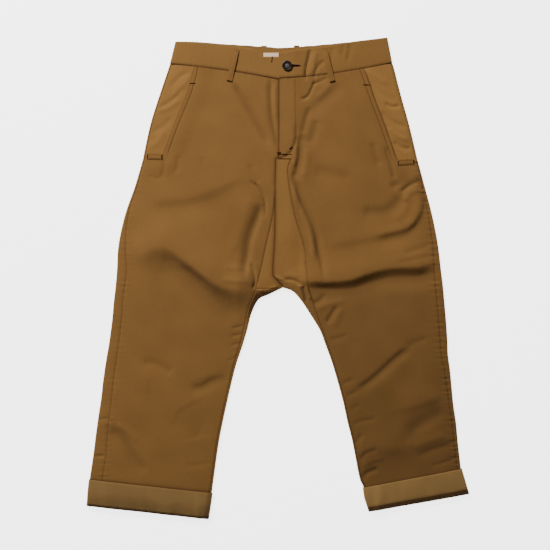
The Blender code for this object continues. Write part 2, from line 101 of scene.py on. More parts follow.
# Folds fade to this part of their height at a leg's edges and the band's, over these distances
EDGE_CALM = 0.45
EDGE_CALM_REACH = 14.0
HEM_CALM_REACH = 16.0
WAIST_CALM_REACH = 20.0
BAND_CALM = 0.7
BAND_CALM_REACH = 20.0

# The back is lifted over the back loops down to this row, easing off over part of the next
LOOP_LIFT_END = 1.0
LOOP_LIFT_ROWS = 0.625

# Rows of the leg tables
WAIST = 0
POCKET_END = 4
GUSSET_LEFT_TOP = 5
GUSSET_RIGHT_TOP = 6
CROTCH = 10
CUFF = 22
HEM = 24

# The garment's own middle is a little off the middle of the leg tables
MIDDLE = Vector((1.0, -1.5))
CENTRE_BACK = 7.4

Leg = namedtuple("Leg", "seam_x seam_y edge_x edge_y side_x side_y turn")

# seam: inner edge of the front panel. edge: centre back, then the inner edge of the leg.
# side: outer edge. turn: how far the back panel turns over onto the front at the side.
RIGHT_LEG = (
    (4, 362, CENTRE_BACK, 378, -196, 391, 2.8),
    (4, 350, CENTRE_BACK, 366, -200, 379, 2.8),
    (4, 325, CENTRE_BACK, 330, -214, 338, 2.8),
    (4, 273, CENTRE_BACK, 276, -232, 281, 2.8),
    (4, 221, CENTRE_BACK, 221, -245, 222, 2.8),
    (-2, 215, CENTRE_BACK, 215, -246, 216, 3),
    (-3, 167, CENTRE_BACK, 168, -260, 168, 4),
    (-8, 112, CENTRE_BACK, 113, -279, 113, 6),
    (-20, 58, CENTRE_BACK, 60, -291, 58, 13),
    (-30, 12, CENTRE_BACK, 12, -294, 10, 18),
    (-39, -21, 11, -20, -297, -23, 17),
    (-45, -38, -16, -33, -300, -49, 17),
    (-51, -53, -34, -42, -302, -73, 18),
    (-57, -76, -47, -67, -305, -98, 18),
    (-62, -100, -55, -98, -309, -126, 19),
    (-69, -128, -64, -128, -314, -155, 20),
    (-79, -161, -75, -161, -319, -189, 20),
    (-87, -196, -84, -196, -323, -224, 20),
    (-95, -231, -92, -231, -328, -257, 21),
    (-103, -268, -100, -268, -333, -293, 22),
    (-110, -304, -107, -304, -337, -325, 24),
    (-116, -345, -113, -345, -341, -352, 24),
    (-122.5, -393, -119.5, -393, -343.5, -370, 23),
    (-125.5, -415, -122.5, -415, -346, -391.5, 23),
    (-129.5, -439.5, -126.5, -439.5, -347.5, -415.5, 22),
)

LEFT_LEG = (
    (4, 364, CENTRE_BACK, 378, 211, 393, 2.8),
    (4, 352, CENTRE_BACK, 366, 215, 381, 2.8),
    (4, 325, CENTRE_BACK, 330, 228, 331, 2.8),
    (4, 273, CENTRE_BACK, 276, 243, 277, 2.8),
    (4, 217, CENTRE_BACK, 221, 258, 214, 2.8),
    (26, 216, CENTRE_BACK, 215, 260, 207, 3),
    (19.5, 190, CENTRE_BACK, 168, 270, 170, 3.5),
    (32, 115, CENTRE_BACK, 113, 284, 117, 6),
    (48, 62, CENTRE_BACK, 60, 295, 62, 9),
    (53, 16, CENTRE_BACK, 12, 301, 14, 12),
    (56, -17, 11, -20, 305, -19, 13),
    (63, -35, 29, -27, 307, -41, 13),
    (68, -54, 44, -43, 309, -63, 13),
    (76, -77, 60, -67, 311, -87, 13),
    (84, -99, 79, -98, 313, -117, 13),
    (93, -124, 89, -124, 314, -143, 12),
    (104, -157, 101, -157, 318, -174, 10),
    (115, -194, 112, -194, 321, -205, 8),
    (125, -231, 122, -231, 324, -236, 7),
    (133, -268, 130, -268, 329, -270, 6.5),
    (142, -304, 139, -304, 332, -303, 6),
    (154.5, -368, 151.5, -368, 336, -338, 6),
    (161.5, -385, 158.5, -385, 337.5, -351, 6),
    (164.5, -403, 161.5, -403, 343, -369, 6),
    (171.5, -421.5, 168.5, -421.5, 349.5, -389.5, 6),
)

# Where the slanted pocket edge crosses the first rows, along X
RIGHT_POCKET = (-153, -156, -167, -190, -211)
LEFT_POCKET = (158, 164, 178.5, 198.5, 220)

# The edge of the left side where it lies over the right: fly, then gusset
OVER_EDGE = (
    (4, 440), (4, 221), (-2, 216), (-3, 168), (-3.3, 113),
    (-3.7, 76), (-5.2, 48), (-7, 21), (-7, 2), (12, -18.6),
)

Band = namedtuple("Band", "front_y back_y side_x side_y front_bow back_bow")

# Lower and upper edge of each half of the waistband
RIGHT_BAND = (Band(362, 378, -196, 391, 3, 0), Band(403, 420, -186, 431.5, 8, 1))
LEFT_BAND = (Band(364, 378, 211, 393, -4.5, 0), Band(411, 420, 202, 439, 1, -1.5))
FLY_X = 4
BAND_UNDERLAP = 14.0
WAIST_BOW_ROWS = 3

# The right half's upper edge falls away here so that the label shows: where along X, and how far down
DIP_X = (-46.0, 22.0)
DIP_Y = 403.4

Crease = namedtuple("Crease", "points height left right")

# Creases by the photograph's pixels. A height above zero is a ridge and below it a trough;
# left and right are its widths on either side, looking along its points, in millimetres.
# Several heights or widths are spread evenly along the crease.
CREASES = (
    # Right hip, the large fold that runs to the crotch
    (((128, 254), (143, 251), (156, 247), (167, 247), (177, 252), (188, 261), (200, 271), (211, 279.5),
      (223, 286), (240, 289), (257, 290)), (1.5, 4.6, 7.2, 9.0, 10.4, 10.8, 10.8, 11.0, 9.8),
     (34, 42, 50, 54, 56, 54, 52, 46, 40), (20, 22, 21, 14, 10, 9.5, 14, 25, 30)),
    (((146, 273), (160, 273), (174, 271.5), (185, 275), (195, 283), (205, 292), (215, 301), (226, 311),
      (238, 320)), (-0.8, -1.8, -3.0, -3.2, -2.6), (14, 14, 11, 11, 16), 24),
    # Right hip, the soft fold across it
    (((150, 200), (170, 198), (188, 196), (204, 192), (218, 186), (232, 180), (248, 176)), 1.4, 28, 12),
    (((152, 210), (170, 209), (190, 206.5), (206, 202.5), (222, 196.5), (240, 188)), -1.0, 12, 24),
    # Right hip, the groove beside the crotch seam
    (((261, 203), (258, 216), (253, 229), (249, 242), (247, 256), (245, 269), (245, 277)),
     -4.4, 6.5, 9.5),
    (((250, 196), (246, 214), (240, 232), (236, 252)), 0.9, 8, 14),
    (((250, 181), (257, 186.5), (262.5, 194), (265, 203), (265.5, 218)), -2.6, 2.6, 3.0),
    (((250, 164), (253, 174), (259, 183)), -0.9, 6, 6),
    # Right hip, small creases by the crotch
    (((224, 268), (236, 268), (247, 269)), 0.7, 6, 4.5),
    (((222, 280), (236, 281), (250, 282)), 0.8, 5, 4),
    (((250.5, 263), (254, 272), (255.5, 281), (253, 290)), -2.8, 2.6, 3.6),
    (((256, 262), (257, 274), (256, 284)), 0.8, 3.5, 3.5),
    # Crotch
    (((257, 290.5), (267, 290), (278, 286)), 1.9, 2.4, 2.2),
    (((261, 294.5), (270, 292.5), (280, 287.5)), -2.2, 2, 2),
    (((275, 276.5), (281, 279.5), (288, 283.5)), 1.6, 3, 2.6),
    (((283, 281), (290, 279.5), (297, 281.5), (302, 285)), -1.8, 2.3, 2.6),
    (((284, 276), (291, 275), (299, 277.5)), 0.6, 4, 3.6),
    # Right pocket bag
    (((165, 158), (164, 170), (161, 179)), -0.7, 4, 4),
    (((148, 176), (160, 179.5)), -0.5, 3, 3),
    (((179, 156), (178, 164), (176, 173)), -0.8, 4, 5),
    (((203, 157), (203, 168)), -0.4, 4, 4),
    # Beside the fly
    (((271, 80), (271, 98), (272, 114), (274.2, 128), (276.6, 139), (278.4, 150)), -2.4, 2.8, 6),
    (((275.5, 84), (275.5, 100), (276.5, 118)), 0.9, 3, 3),
    (((233, 84), (242, 98), (251, 113), (260, 129), (270, 146)), -2.8, 6.5, 6),
    (((310.5, 50), (308.5, 60), (306.5, 68), (305.5, 79)), -4.4, 2.3, 3.2),
    (((316, 52), (314, 62), (312, 73)), 1.7, 4, 3.5),
    (((325, 61), (319, 65.5), (315.5, 72), (314, 79)), -2.4, 2.8, 2.8),
    (((315, 81), (311.5, 90), (307.5, 97), (301, 100)), -2.1, 2.6, 2.6),
    (((328, 78), (320, 82), (313, 85)), -1.3, 3, 3),
    (((338, 82), (335.5, 90), (327, 98), (318, 105), (312, 112), (308, 120)), -1.3, 12, 9),
    (((330, 84), (324, 92), (316, 99)), 0.9, 6, 6),
    (((310, 107), (307, 116), (304.5, 125), (302, 134)), -1.4, 5, 5),
    (((317, 120), (314, 132), (309, 145)), -1.4, 9, 7),
    (((295.5, 126), (296, 136), (294.5, 144), (291.5, 151), (287, 156), (280, 158)), -1.5, 2.6, 2.6),
    (((301, 134), (299.5, 147), (299, 158), (296.5, 170), (293.5, 180)), -2.6, 9, 4.5),
    (((296.5, 144), (296, 156), (293.5, 167)), 1.1, 3.5, 3.5),
    (((307, 148), (306, 162), (303, 178)), 1.0, 9, 5),
    # Gusset, the ridge and the second fold beside its seam
    (((292.5, 184), (297, 200), (302.5, 213), (308.5, 228), (312, 243), (314.5, 262)), 3.0, 5.5, 4.5),
    (((293, 177), (299.5, 197), (306, 211), (312, 223), (316, 236), (318, 250), (321.5, 264),
      (324, 278)), -3.0, 7, 3.6),
    (((298, 202), (300, 212)), -0.7, 4, 3),
    (((305, 262), (309, 276)), -0.6, 4, 4),
    # Left half of the waistband
    (((351, 42), (349.5, 51), (347.5, 62)), -1.6, 4.5, 5),
    (((344, 44), (343, 50), (341, 57)), -1.1, 3.5, 3.5),
    (((333, 48), (331.5, 55), (330, 63)), -1.0, 4, 4),
    # Left hip, soft marks
    (((314, 171), (330, 174), (350, 179)), -1.0, 11, 11),
    (((372, 143), (375, 154), (379, 166)), -1.3, 5, 5),
    (((385, 147), (390, 163), (394.5, 180)), -1.9, 4, 4),
    (((399, 183), (391, 188)), -1.6, 7, 7),
    (((421, 180.5), (410, 185.5), (400, 193)), -1.8, 3.5, 4.5),
    (((419, 188), (409, 194), (403, 202)), 1.1, 6, 5),
    (((402, 196), (394, 206), (383, 212), (362, 212)), -2.1, 13, 10),
    (((410, 196), (405, 208), (396, 221)), 0.8, 9, 9),
    # Left hip, the pocket bag that shows through
    (((415.5, 164), (417, 182), (420, 198), (419, 210), (414, 220.5), (404.5, 228), (390, 232),
      (376, 235)), 2.4, 5, 13),
    (((388, 232), (368, 236.5), (345, 241), (328, 244)), 1.3, 9, 18),
    (((425, 194), (424, 208), (420.5, 219), (414, 229), (404, 236), (390, 239.5), (376, 242)),
     -1.4, 12, 6),
    # Left thigh, the crisp crease from the inseam to the side
    (((298, 280), (320, 280.5), (338, 280), (352, 278), (363, 274), (374, 270.5), (388, 267.5),
      (402, 266.5), (418, 266), (439, 260)), (5.4, 5.4, 5.4, 5.4, 5.4, 5.4, 4.8, 2.6), 32, 8.5),
    (((306, 289), (330, 290), (350, 289.5), (364, 285), (376, 281.5), (390, 278.5), (404, 277.5),
      (418, 277), (439, 272)), -3.4, 8.5, 20),
    (((403, 254), (416, 250), (431, 245)), -0.8, 5, 5),
    (((398, 263), (418, 259), (438, 255)), -0.6, 4, 4),
    # Left inseam
    (((313, 304), (319, 301), (326, 294.5)), -1.7, 5, 4.5),
    (((303, 286), (305, 293), (306, 302)), -2.4, 3.4, 4.0),
    (((299.5, 285), (301, 292), (304, 301)), 2.4, 3.4, 3.4),
    (((306.5, 286), (307.5, 292), (310.5, 300)), 2.0, 2.6, 3.4),
    (((316, 310), (329, 303.5), (345, 300)), 0.9, 5, 5),
    (((326.5, 323), (331, 315), (336.5, 306.5)), -1.9, 3.5, 4.5),
    (((333, 326), (337.5, 317), (342, 308)), 0.9, 4, 6),
    (((330, 339), (338, 338), (347, 334.5)), -0.8, 4, 5),
    (((342, 384), (353, 379)), -0.9, 3.5, 3.5),
    (((346, 396), (357, 391)), -0.9, 3.5, 3.5),
    (((350, 410), (360, 404)), -0.6, 3.5, 3.5),
    (((352, 425), (360, 421), (376, 418)), -0.8, 3.5, 4.5),
    (((355, 443), (362, 434)), -1.3, 4, 4),
    (((359, 460), (366, 453), (377, 449)), -1.5, 4, 5),
    (((361, 479), (367, 472.5), (378, 468)), -1.8, 4, 5),
    (((362, 466), (372, 460), (384, 457)), 0.8, 4, 4),
    # Left leg, the crisp crease at the knee
    (((356, 390), (368, 382), (380, 372), (390, 362.5), (400, 354), (409, 348)), -2.3, 5, 10),
    (((406, 346), (416, 342), (427, 338)), -0.8, 6, 6),
    (((366, 390), (378, 381.5), (390, 371.5), (401, 362), (412, 355)), 0.6, 5, 22),
    # Left leg, above the cuff
    (((378, 412), (394, 408), (410, 404.5), (424, 400), (441, 393)), (0.0, 0.8, 2.0, 2.5, 2.3), 30, 11),
    (((398, 450), (405, 440), (415, 428), (429, 419), (446, 409)),
     (-0.6, -2.0, -2.8, -2.6, -2.2), 16, 12),
    (((412, 448), (428, 441), (446, 435)), 1.0, 8, 6),
    (((416, 456), (430, 450), (446, 445), (458, 440)), -1.3, 6, 8),
    (((354, 450), (372, 448), (392, 446), (416, 440)), (0.8, 2.4, 3.0, 2.6, 1.6), 28, 17),
    (((430, 466), (444, 462), (458, 457)), -0.8, 4, 4),
    # Right leg
    (((143, 362), (158, 364.5), (173, 373)), -1.1, 9, 7),
    (((190, 388), (202, 387), (212, 381), (228, 378)), (-1.2, -2.1, -1.5, -0.6), 7, 11),
    (((190, 378), (206, 376), (222, 370)), 0.5, 12, 8),
    (((172, 420), (190, 428), (203, 434)), -0.6, 20, 16),
    (((150, 378), (151, 397)), -0.4, 6, 6),
    (((186, 404), (194, 420), (198, 440)), -1.0, 30, 24),
    (((109, 428), (118, 434), (126, 443), (132, 454), (139, 464), (149, 471)),
     (-2.0, -2.6, -3.0, -2.8, -1.8, -0.6), 9, 12),
    (((117, 424), (128, 431), (138, 442)), 0.8, 8, 5),
    (((232, 328), (244, 326)), -0.9, 2.6, 2.6),
    (((231, 336), (243, 334)), -0.9, 2.6, 2.6),
    (((231, 345), (241, 343)), -0.8, 2.6, 2.6),
    (((228, 361), (237, 357)), -0.6, 3, 3),
    (((98, 419), (110, 418)), -1.2, 2.6, 2.6),
    (((93, 456), (105, 455)), -1.2, 2.6, 2.6),
    (((186, 466), (212, 462)), -0.4, 5, 5),
)

# Creases pressed into the back, which lies on the floor, in millimetres of the garment
BACK_CREASES = [Crease(*row) for row in (
    (((-30, 60), (-90, 20), (-170, -10), (-250, -20)), 0.55, 12, 18),
    (((20, 70), (90, 30), (170, 10), (260, 0)), 0.6, 14, 16),
    (((-60, 240), (-120, 190), (-190, 160)), 0.4, 18, 14),
    (((50, 250), (120, 210), (200, 150)), 0.45, 14, 18),
    (((-120, -120), (-190, -150), (-280, -140)), 0.4, 12, 12),
    (((110, -130), (190, -170), (290, -150)), 0.5, 12, 14),
    (((-140, -260), (-220, -300), (-310, -290)), 0.35, 10, 16),
    (((150, -290), (230, -320), (320, -290)), 0.4, 12, 10),
    (((-20, 160), (-60, 100), (-80, 40)), 0.35, 8, 12),
    (((30, 170), (60, 110), (90, 60)), 0.35, 9, 9),
)]

# A crease is felt this many widths away, and eases in at each end over this share of its length,
# from this part of the way on
CREASE_REACH = 3
CREASE_END = 0.2
CREASE_END_PART = 0.25

# Loose waves of the cloth that run over all the panels: their number, lengths and height
WAVES = 22
WAVE_SEED = 11
WAVE_LONGEST = 150.0
WAVE_SHORTEST = 50.0
WAVE_HEIGHT = 0.13

# Painted shade in the cloth's hollows: how much darker a hollow is for each millimetre of its depth
HOLLOW_SHADE = 0.05
DARKEST_HOLLOW = 0.72

# Wear and dye mixed with painted light falloff: how much deeper the left leg is, and more so down to its
# foot, how much paler the right leg is, and how much deeper the left hip is up to the waist
LEFT_LEG_DEEPER = 0.14
LEFT_FOOT_DEEPER = 0.12
RIGHT_LEG_PALER = 0.05
LEFT_HIP_DEEPER = 0.05

# Where each of these starts, and over how far it comes in
LEFT_OF_CROTCH = (10.0, 60.0)
BELOW_CROTCH = (10.0, 24.0)
DOWN_LEFT_LEG = (60.0, 300.0)
DOWN_RIGHT_LEG = (40.0, 200.0)
UP_LEFT_HIP = (60.0, 300.0)
OUT_LEFT_HIP = (40.0, 160.0)

# Tone of the pieces that differ from the legs
CUFF_TONE = {"cuff_cloth_right": 1.0, "cuff_cloth_left": 1.27}
# Painted light: the gusset is painted lighter for the light on its cloth
GUSSET_PAINTED_LIGHT = 1.2
LEFT_FACING_TONE = 1.12
BAND_TONE = 0.88
FRONT_LOOP_TONE = 0.96
BACK_LOOP_TONE = 0.7

Strip = namedtuple("Strip", "x0 y0 x1 y1 width")

FRONT_LOOPS = {
    "right": Strip(-74.5, 416, -87.5, 358, 10),
    "left": Strip(86.5, 418, 102, 357, 10),
}
BACK_LOOPS = {
    "right": Strip(-24, 424.5, -24, 369, 10),
    "left": Strip(36, 425, 36, 369, 10),
}
FRONT_LOOP_GRID = (60, 13)
BACK_LOOP_GRID = (30, 9)
WELT_GRID = (26, 11)
LOOP_BULGE = 1.3
LOOP_BULGE_LENGTH = 1.15
LOOP_EDGE_DROP = 0.35
LOOP_RIB = 0.12

# A loop comes down from the band to the front here, as height from the seam
LOOP_STEP = (-9.0, 7.0)

# Length of a front loop, for the painted shade at its two ends
LOOP_LENGTH = 58.0

# Rise of the middle of a belt loop, welt or label over what it lies on, besides the thicknesses
LOOP_GAP = 0.2
WELT_GAP = 0.15
LABEL_GAP = 0.15

WELTS = {
    "right": Strip(-210, 219.5, -239, 220.5, 10.2),
    "left": Strip(221, 208.4, 252, 211, 10.2),
}
WELT = 0.9
WELT_EDGE_DROP = 0.4

LABEL = 0.6
LABEL_BOX = (-25.0, 3.0, 398.0, 411.0)
LABEL_GRID = (12, 24)
LABEL_WAVE = 0.05
LABEL_WAVE_REACH = 4.0

# How much longer a cuff hangs than its solid, partly reaching over the shadow under its fold, and the width
# of the painted shadow along its fold
CUFF_DROP = {"right": 5.0, "left": 9.5}
CUFF_FOOT_SHADOW_WIDTH = {"right": 3.0, "left": 8.5}

# Shade at the inner end of the right cuff, and where it comes in from that end
CUFF_END_SHADE = 0.5
CUFF_END = (-13.0, 9.0)

# Rows from the cuff's top edge to its fold, counted from the leg's cuff row, and the fold's steps
CUFF_STATIONS = np.concatenate([[0.15, 0.16, 0.18, 0.22, 0.28], np.linspace(0.36, 1.9, 18), [1.97, 2.0]])
CUFF_BEND_STEPS = 8

# The cuff swells by this much times its profile, from its top edge down to its fold
CUFF_BULGE = 3.1
CUFF_PROFILE_STEPS = (0.0, 0.15, 0.45, 0.75, 1.0, 1.2, 1.4, 1.6, 1.8, 2.0)
CUFF_PROFILE = {
    "right": (0.0, 0.0, 0.3, 0.58, 0.78, 0.86, 0.8, 0.58, 0.25, -0.2),
    "left": (0.0, 0.0, 0.14, 0.26, 0.34, 0.38, 0.4, 0.34, 0.1, -0.4),
}

# The profile wanders by this part of a row; ripples and a long wave run along the upper layer,
# with their pace beside that of a seam's ripples
CUFF_WANDER = 0.14
CUFF_WANDER_PACE = 0.16
CUFF_RIPPLE = 0.175
CUFF_PACE = 0.35
CUFF_WAVE = 0.105
CUFF_WAVE_REACH = 17.0
CUFF_TOP_EDGE = (0.4, 1.0)

# Where the upper layer of a cuff starts in height, and over how much its swelling comes in
CUFF_UPPER = (4.0, 1.5)

# One soft ridge across each cuff, lower at its top edge
CUFF_RIDGE = 2.0
CUFF_RIDGE_START = 0.35
CUFF_RIDGE_WIDTH = 9.0
CUFF_RIDGE_X = {"right": -143.0, "left": 188.0}

# The button's threads cross from hole to hole: length, radius, places side by side and how far
# they lie below its rim
BUTTON_THREAD_LENGTH = 4.0
BUTTON_THREAD_RADIUS = 0.34
BUTTON_STRANDS = np.array((-0.35, 0.0, 0.35))
BUTTON_THREAD_DEPTH = 0.9

# The buttonhole by the photograph's pixels, and its edges beside the slit
BUTTONHOLE = (290.5, 66.4), (301, 66.2)
BUTTONHOLE_SLIT_WIDTH = 1.5
BUTTONHOLE_EDGE_WIDTH = 2.2
BUTTONHOLE_EDGE_GAP = 1.5
BUTTONHOLE_EDGE_SHORTER = 3.5
BUTTONHOLE_EDGE_TAPER = 0.4

# Darkness of the lines of the seams, and of the painted shade along edges, from 0 to 1
WAIST_LINE = 1.0
SEAM_LINE = 0.62
SIDE_LINE = 0.3
FACING_SIDE_LINE = 0.2
# Painted shade along the fly's folded edge on the left front
FLY_EDGE_SHADE = {"right": 0.0, "left": 0.75}
# Painted shadow along the edge where the left side lies over the right
OVER_SHADOW = 1.0
POCKET_LINE = 0.22
POCKET_STITCH_LINE = 0.28
# Painted shadow on the leg along the top edge of each cuff
CUFF_TOP_SHADOW = {"right": 1.0, "left": 0.6}
CUFF_TOP_SHADOW_WIDTH = 2.6
# Painted shadow along each cuff's fold at its foot
CUFF_FOOT_SHADOW = 0.9
CROTCH_SHADE = {"right": 0.85, "left": 0.0}
FLY_STITCH_LINE = 0.55
# Painted shade at the head and foot of a front loop
LOOP_HEAD_SHADE = 0.9
LOOP_FOOT_SHADE = 0.5
WELT_EDGE_LINE = 0.6

# How far the painted shadow beside the overlap reaches on the front, and on each half of the gusset
OVER_SHADOW_WIDTH = 2.4
LEFT_GUSSET_SHADOW_WIDTH = 2.0
RIGHT_GUSSET_SHADOW_WIDTH = 2.8
FLY_STITCH_WIDTH = 1.3

# The line of the fly stitching is fainter above its turn by this factor, and eases in below it
FLY_STITCH_FAINT = 0.35
FLY_STITCH_EASE = 12.0

# Where a cuff's top edge lies, as part of a row, and the length of such a row
CUFF_START = 0.15
CUFF_ROW_LENGTH = 24.0

# Height and reach of the puckers along the seams, and the depth of the facing's groove
SIDE_PUCKER = {"right": 0.34, "left": 0.75}
SIDE_PUCKER_REACH = 7.0
BACK_PUCKER = {"right": 0.3, "left": 0.7}
BACK_PUCKER_REACH = 9.0
WAIST_PUCKER = 0.3
FACING_WAIST_PUCKER = 0.2
FACING_SIDE_DIP = 0.3
BAND_PUCKER = 0.2

# How far the folded edge of the fly is rounded down; drop and reach of the band's upper edge
FLY_EDGE = {"right": 0.0, "left": 0.35}
BAND_TOP_EDGE = (0.45, 1.1)

# Seeds of the ripples along each seam
SEEDS = {
    "inseam": 3, "side": 5, "waist": 8, "facing_waist": 9, "facing_side": 21,
    "band_top": 17, "band_back": 41, "cuff": 52, "cuff_fold": 57,
}

# Each ripple is the sum of this many waves, scaled to about -1 to 1
RIPPLES = 5
RIPPLE_PHASE = 6.3
RIPPLE_SCALE = 3.2

# Spacing of the cloth's points, and their distances from an edge
CELL = 2.6
GUSSET_CELL = 2.2
EDGE_OFFSETS = (0.0, 0.35, 0.9, 1.7, 2.8, 3.8, 4.6, 5.4, 6.6, 8.4)

# The two lines of stitches along a pocket edge: distance from it, and the second one's dent
EDGE_STITCH_GAP = 1.3
STITCH_GAP = 8.5
STITCH_DENT = 0.5
STITCH_DENT_WIDTH = 0.8

# A panel's edge changes from one kind to the next over this part of a row
ROW_EASE = 0.15
FLY_FOOT_EASE = 0.5

# Relief comes in over this distance from the turn of an edge
TURN_EASE = 0.8

# Edges sharper than this stay sharp
SHARP_ANGLE = math.radians(50)

# Points nearer than this are welded, in metres
WELD = 0.000005

# Weave of the twill, in metres, and how fine its uneven patches are
RIB_PITCH = 0.0011
THREAD_PITCH = 0.0007
WEAVE_HEIGHT = 0.0001
CUFF_WEAVE_HEIGHT = 0.00014
SLUB_SCALE = 420.0
WARP_SCALE = (900.0, 60.0, 1.0)
CLOUD_SCALE = 14.0
FLECK_SCALE = 160.0
THREAD_GRAIN_SCALE = 1500.0
LABEL_GRAIN_SCALE = 600.0
LABEL_WEFT_PITCH = 0.0005

# The button's horn streaks and the painted highlight ring on its face, in metres
STREAK_SCALE = (160.0, 700.0, 160.0)
HIGHLIGHT_RING_RADIUS = 0.0031
HIGHLIGHT_RING_WIDTH = 0.0011

# Stage: the floor's size, roughness, tone and glow, and the key light's place, in metres
FLOOR_SIZE = 8.0
FLOOR_ROUGHNESS = 0.95
FLOOR_COLOUR = (0.95, 0.95, 0.95, 1)
FLOOR_GLOW = 3.6
KEY_PLACE = (-1.3, 2.2, 1.6)
SENSOR_WIDTH = 36.0
WHITE = (1, 1, 1, 1)


def size_of(key):
    """A size from the settings in the scene, in millimetres."""
    return getattr(bpy.context.scene.trousers_sizes, key) / MM


def smooth(value):
    """Ease from 0 to 1."""
    value = np.clip(value, 0.0, 1.0)
    return value * value * (3 - 2 * value)


def eased(value, start, reach):
    """Ease from 0 at the start to 1 after the reach."""
    return smooth((value - start) / reach)


def blend(first, second, part):
    """Mix of two values."""
    return first + (second - first) * part


def page(px, py):
    """Place on the cloth of a pixel of the photograph."""
    return (px - PAGE_MIDDLE_X) * PIXEL, (PAGE_MIDDLE_Y - py) * PIXEL


class Curve:
    """A smooth curve through a column of a table, with corners at some rows."""

    def __init__(self, values, corners):
        self.values = np.array(values, dtype=float)
        last = len(self.values) - 1
        self.slopes_in = np.zeros(last + 1)
        self.slopes_out = np.zeros(last + 1)
        for row in range(last + 1):
            before = self.values[row] - self.values[max(row - 1, 0)]
            after = self.values[min(row + 1, last)] - self.values[row]
            if row in (0, last) or row in corners:
                self.slopes_in[row] = before
                self.slopes_out[row] = after
            else:
                self.slopes_in[row] = (before + after) / 2
                self.slopes_out[row] = (before + after) / 2

    def __call__(self, rows):
        rows = np.asarray(rows, dtype=float)
        index = np.minimum(rows.astype(int), len(self.values) - 2)
        part = rows - index
        first = self.values[index]
        second = self.values[index + 1]
        leave = self.slopes_out[index]
        reach = self.slopes_in[index + 1]
        return (
            first * (2 * part**3 - 3 * part**2 + 1)
            + leave * (part**3 - 2 * part**2 + part)
            + second * (3 * part**2 - 2 * part**3)
            + reach * (part**3 - part**2)
        )


def rounded_path(points, steps=4):
    """The same path with its corners rounded."""
    columns = [Curve([point[axis] for point in points], ()) for axis in (0, 1)]
    rows = np.linspace(0, len(points) - 1, (len(points) - 1) * steps + 1)
    return list(zip(columns[0](rows), columns[1](rows)))


def line_field(x, y, path):
    """Distance to a chain of stretches, side from -1 right to 1 left, and how far along."""
    best = np.full(x.shape, np.inf)
    side = np.zeros(x.shape)
    along = np.zeros(x.shape)
    lengths = [math.hypot(b[0] - a[0], b[1] - a[1]) for a, b in zip(path, path[1:])]
    total = sum(lengths)
    passed = 0.0
    for (x0, y0), (x1, y1), length in zip(path, path[1:], lengths):
        run_x = (x1 - x0) / length
        run_y = (y1 - y0) / length
        ahead = (x - x0) * run_x + (y - y0) * run_y
        ahead = np.clip(ahead, 0, length)
        gap = np.hypot(x - x0 - run_x * ahead, y - y0 - run_y * ahead)
        across = run_x * (y - y0) - run_y * (x - x0)
        nearer = gap < best
        best = np.where(nearer, gap, best)
        side = np.where(nearer, across / np.maximum(gap, 1e-6), side)
        along = np.where(nearer, (passed + ahead) / total, along)
        passed += length
    return best, side, along


def creases_on_page(rows):
    """Creases from their pixels, heights and widths."""
    return [Crease([page(px, py) for px, py in points], *sizes) for points, *sizes in rows]


FACING_CREASES = creases_on_page((
    (((189, 72), (180, 78), (171, 88)), -1.0, 4, 5),
    (((190, 76), (183, 86), (172, 98)), 0.9, 5, 4),
    (((183, 88), (172, 101), (160, 108)), -1.1, 5, 4),
    (((180, 100), (168, 108), (158, 112)), 0.8, 5, 5),
    (((172, 118), (162, 128), (152, 132)), -0.8, 5, 5),
    (((166, 130), (158, 142), (148, 148)), 0.6, 6, 5),
    (((365, 70), (376, 78), (388, 84)), 1.0, 6, 5),
    (((368, 82), (378, 92), (396, 102)), -0.9, 5, 6),
    (((385, 103.5), (391.5, 107), (400, 106)), -1.7, 2.8, 3.4),
    (((380, 112), (392, 122), (406, 128)), -1.3, 5, 5),
    (((388, 128), (398, 137), (409, 140)), 1.2, 5, 4),
    (((393, 142), (402, 148), (411, 149)), -1.6, 4, 4),
))
TOP_CREASES = creases_on_page(CREASES)


class Side:
    """One half of the garment: its leg table and the outlines worked out from it."""

    def __init__(self, name, sign, legs, pocket, band):
        self.name = name
        self.sign = sign
        legs = [Leg(*row) for row in legs]
        hip_corners = (POCKET_END, POCKET_END + 1)
        leg_corners = (*hip_corners, CROTCH)
        for line, corners in (("seam", leg_corners), ("edge", leg_corners), ("side", hip_corners)):
            for axis, shift in (("_x", MIDDLE.x), ("_y", MIDDLE.y)):
                column = [getattr(leg, line + axis) - shift for leg in legs]
                setattr(self, line + axis, Curve(column, corners))
        self.turn = Curve([leg.turn for leg in legs], ())
        self.pocket = Curve([x - MIDDLE.x for x in pocket], ())
        self.band = []
        for edge in band:
            heights = {key: getattr(edge, key) - MIDDLE.y for key in ("front_y", "back_y", "side_y")}
            self.band.append(edge._replace(side_x=edge.side_x - MIDDLE.x, **heights))
        fine = np.linspace(WAIST, HEM, 97)
        self.outer_path = list(zip(self.side_x(fine), self.side_y(fine)))
        inner = np.linspace(CROTCH, HEM, 57)
        self.inner_path = list(zip(self.edge_x(inner), self.edge_y(inner)))
        slant = np.linspace(WAIST, POCKET_END, 9)
        slant_x, slant_y = self.front_point(slant, self.pocket(slant))
        self.pocket_path = list(zip(slant_x, slant_y))
        self.pocket_path.append((float(self.side_x(POCKET_END + 1)), float(self.side_y(POCKET_END + 1))))

    def side_seam(self, rows):
        """The seam between front and back near the outer edge."""
        side_x = self.side_x(rows)
        side_y = self.side_y(rows)
        run_x = self.seam_x(rows) - side_x
        run_y = self.seam_y(rows) - side_y
        length = np.hypot(run_x, run_y)
        turn = self.turn(rows)
        return side_x + run_x / length * turn, side_y + run_y / length * turn

    def front_point(self, rows, x):
        """The point of a row of the front at the given X."""
        end_x, end_y = self.side_seam(rows)
        seam_x = self.seam_x(rows)
        part = (x - seam_x) / (end_x - seam_x)
        bow = self.band[0].front_bow * np.maximum(0.0, 1 - np.asarray(rows) / WAIST_BOW_ROWS)
        y = blend(self.seam_y(rows), end_y, part) + bow * 4 * np.maximum(0.0, part * (1 - part))
        return x, y


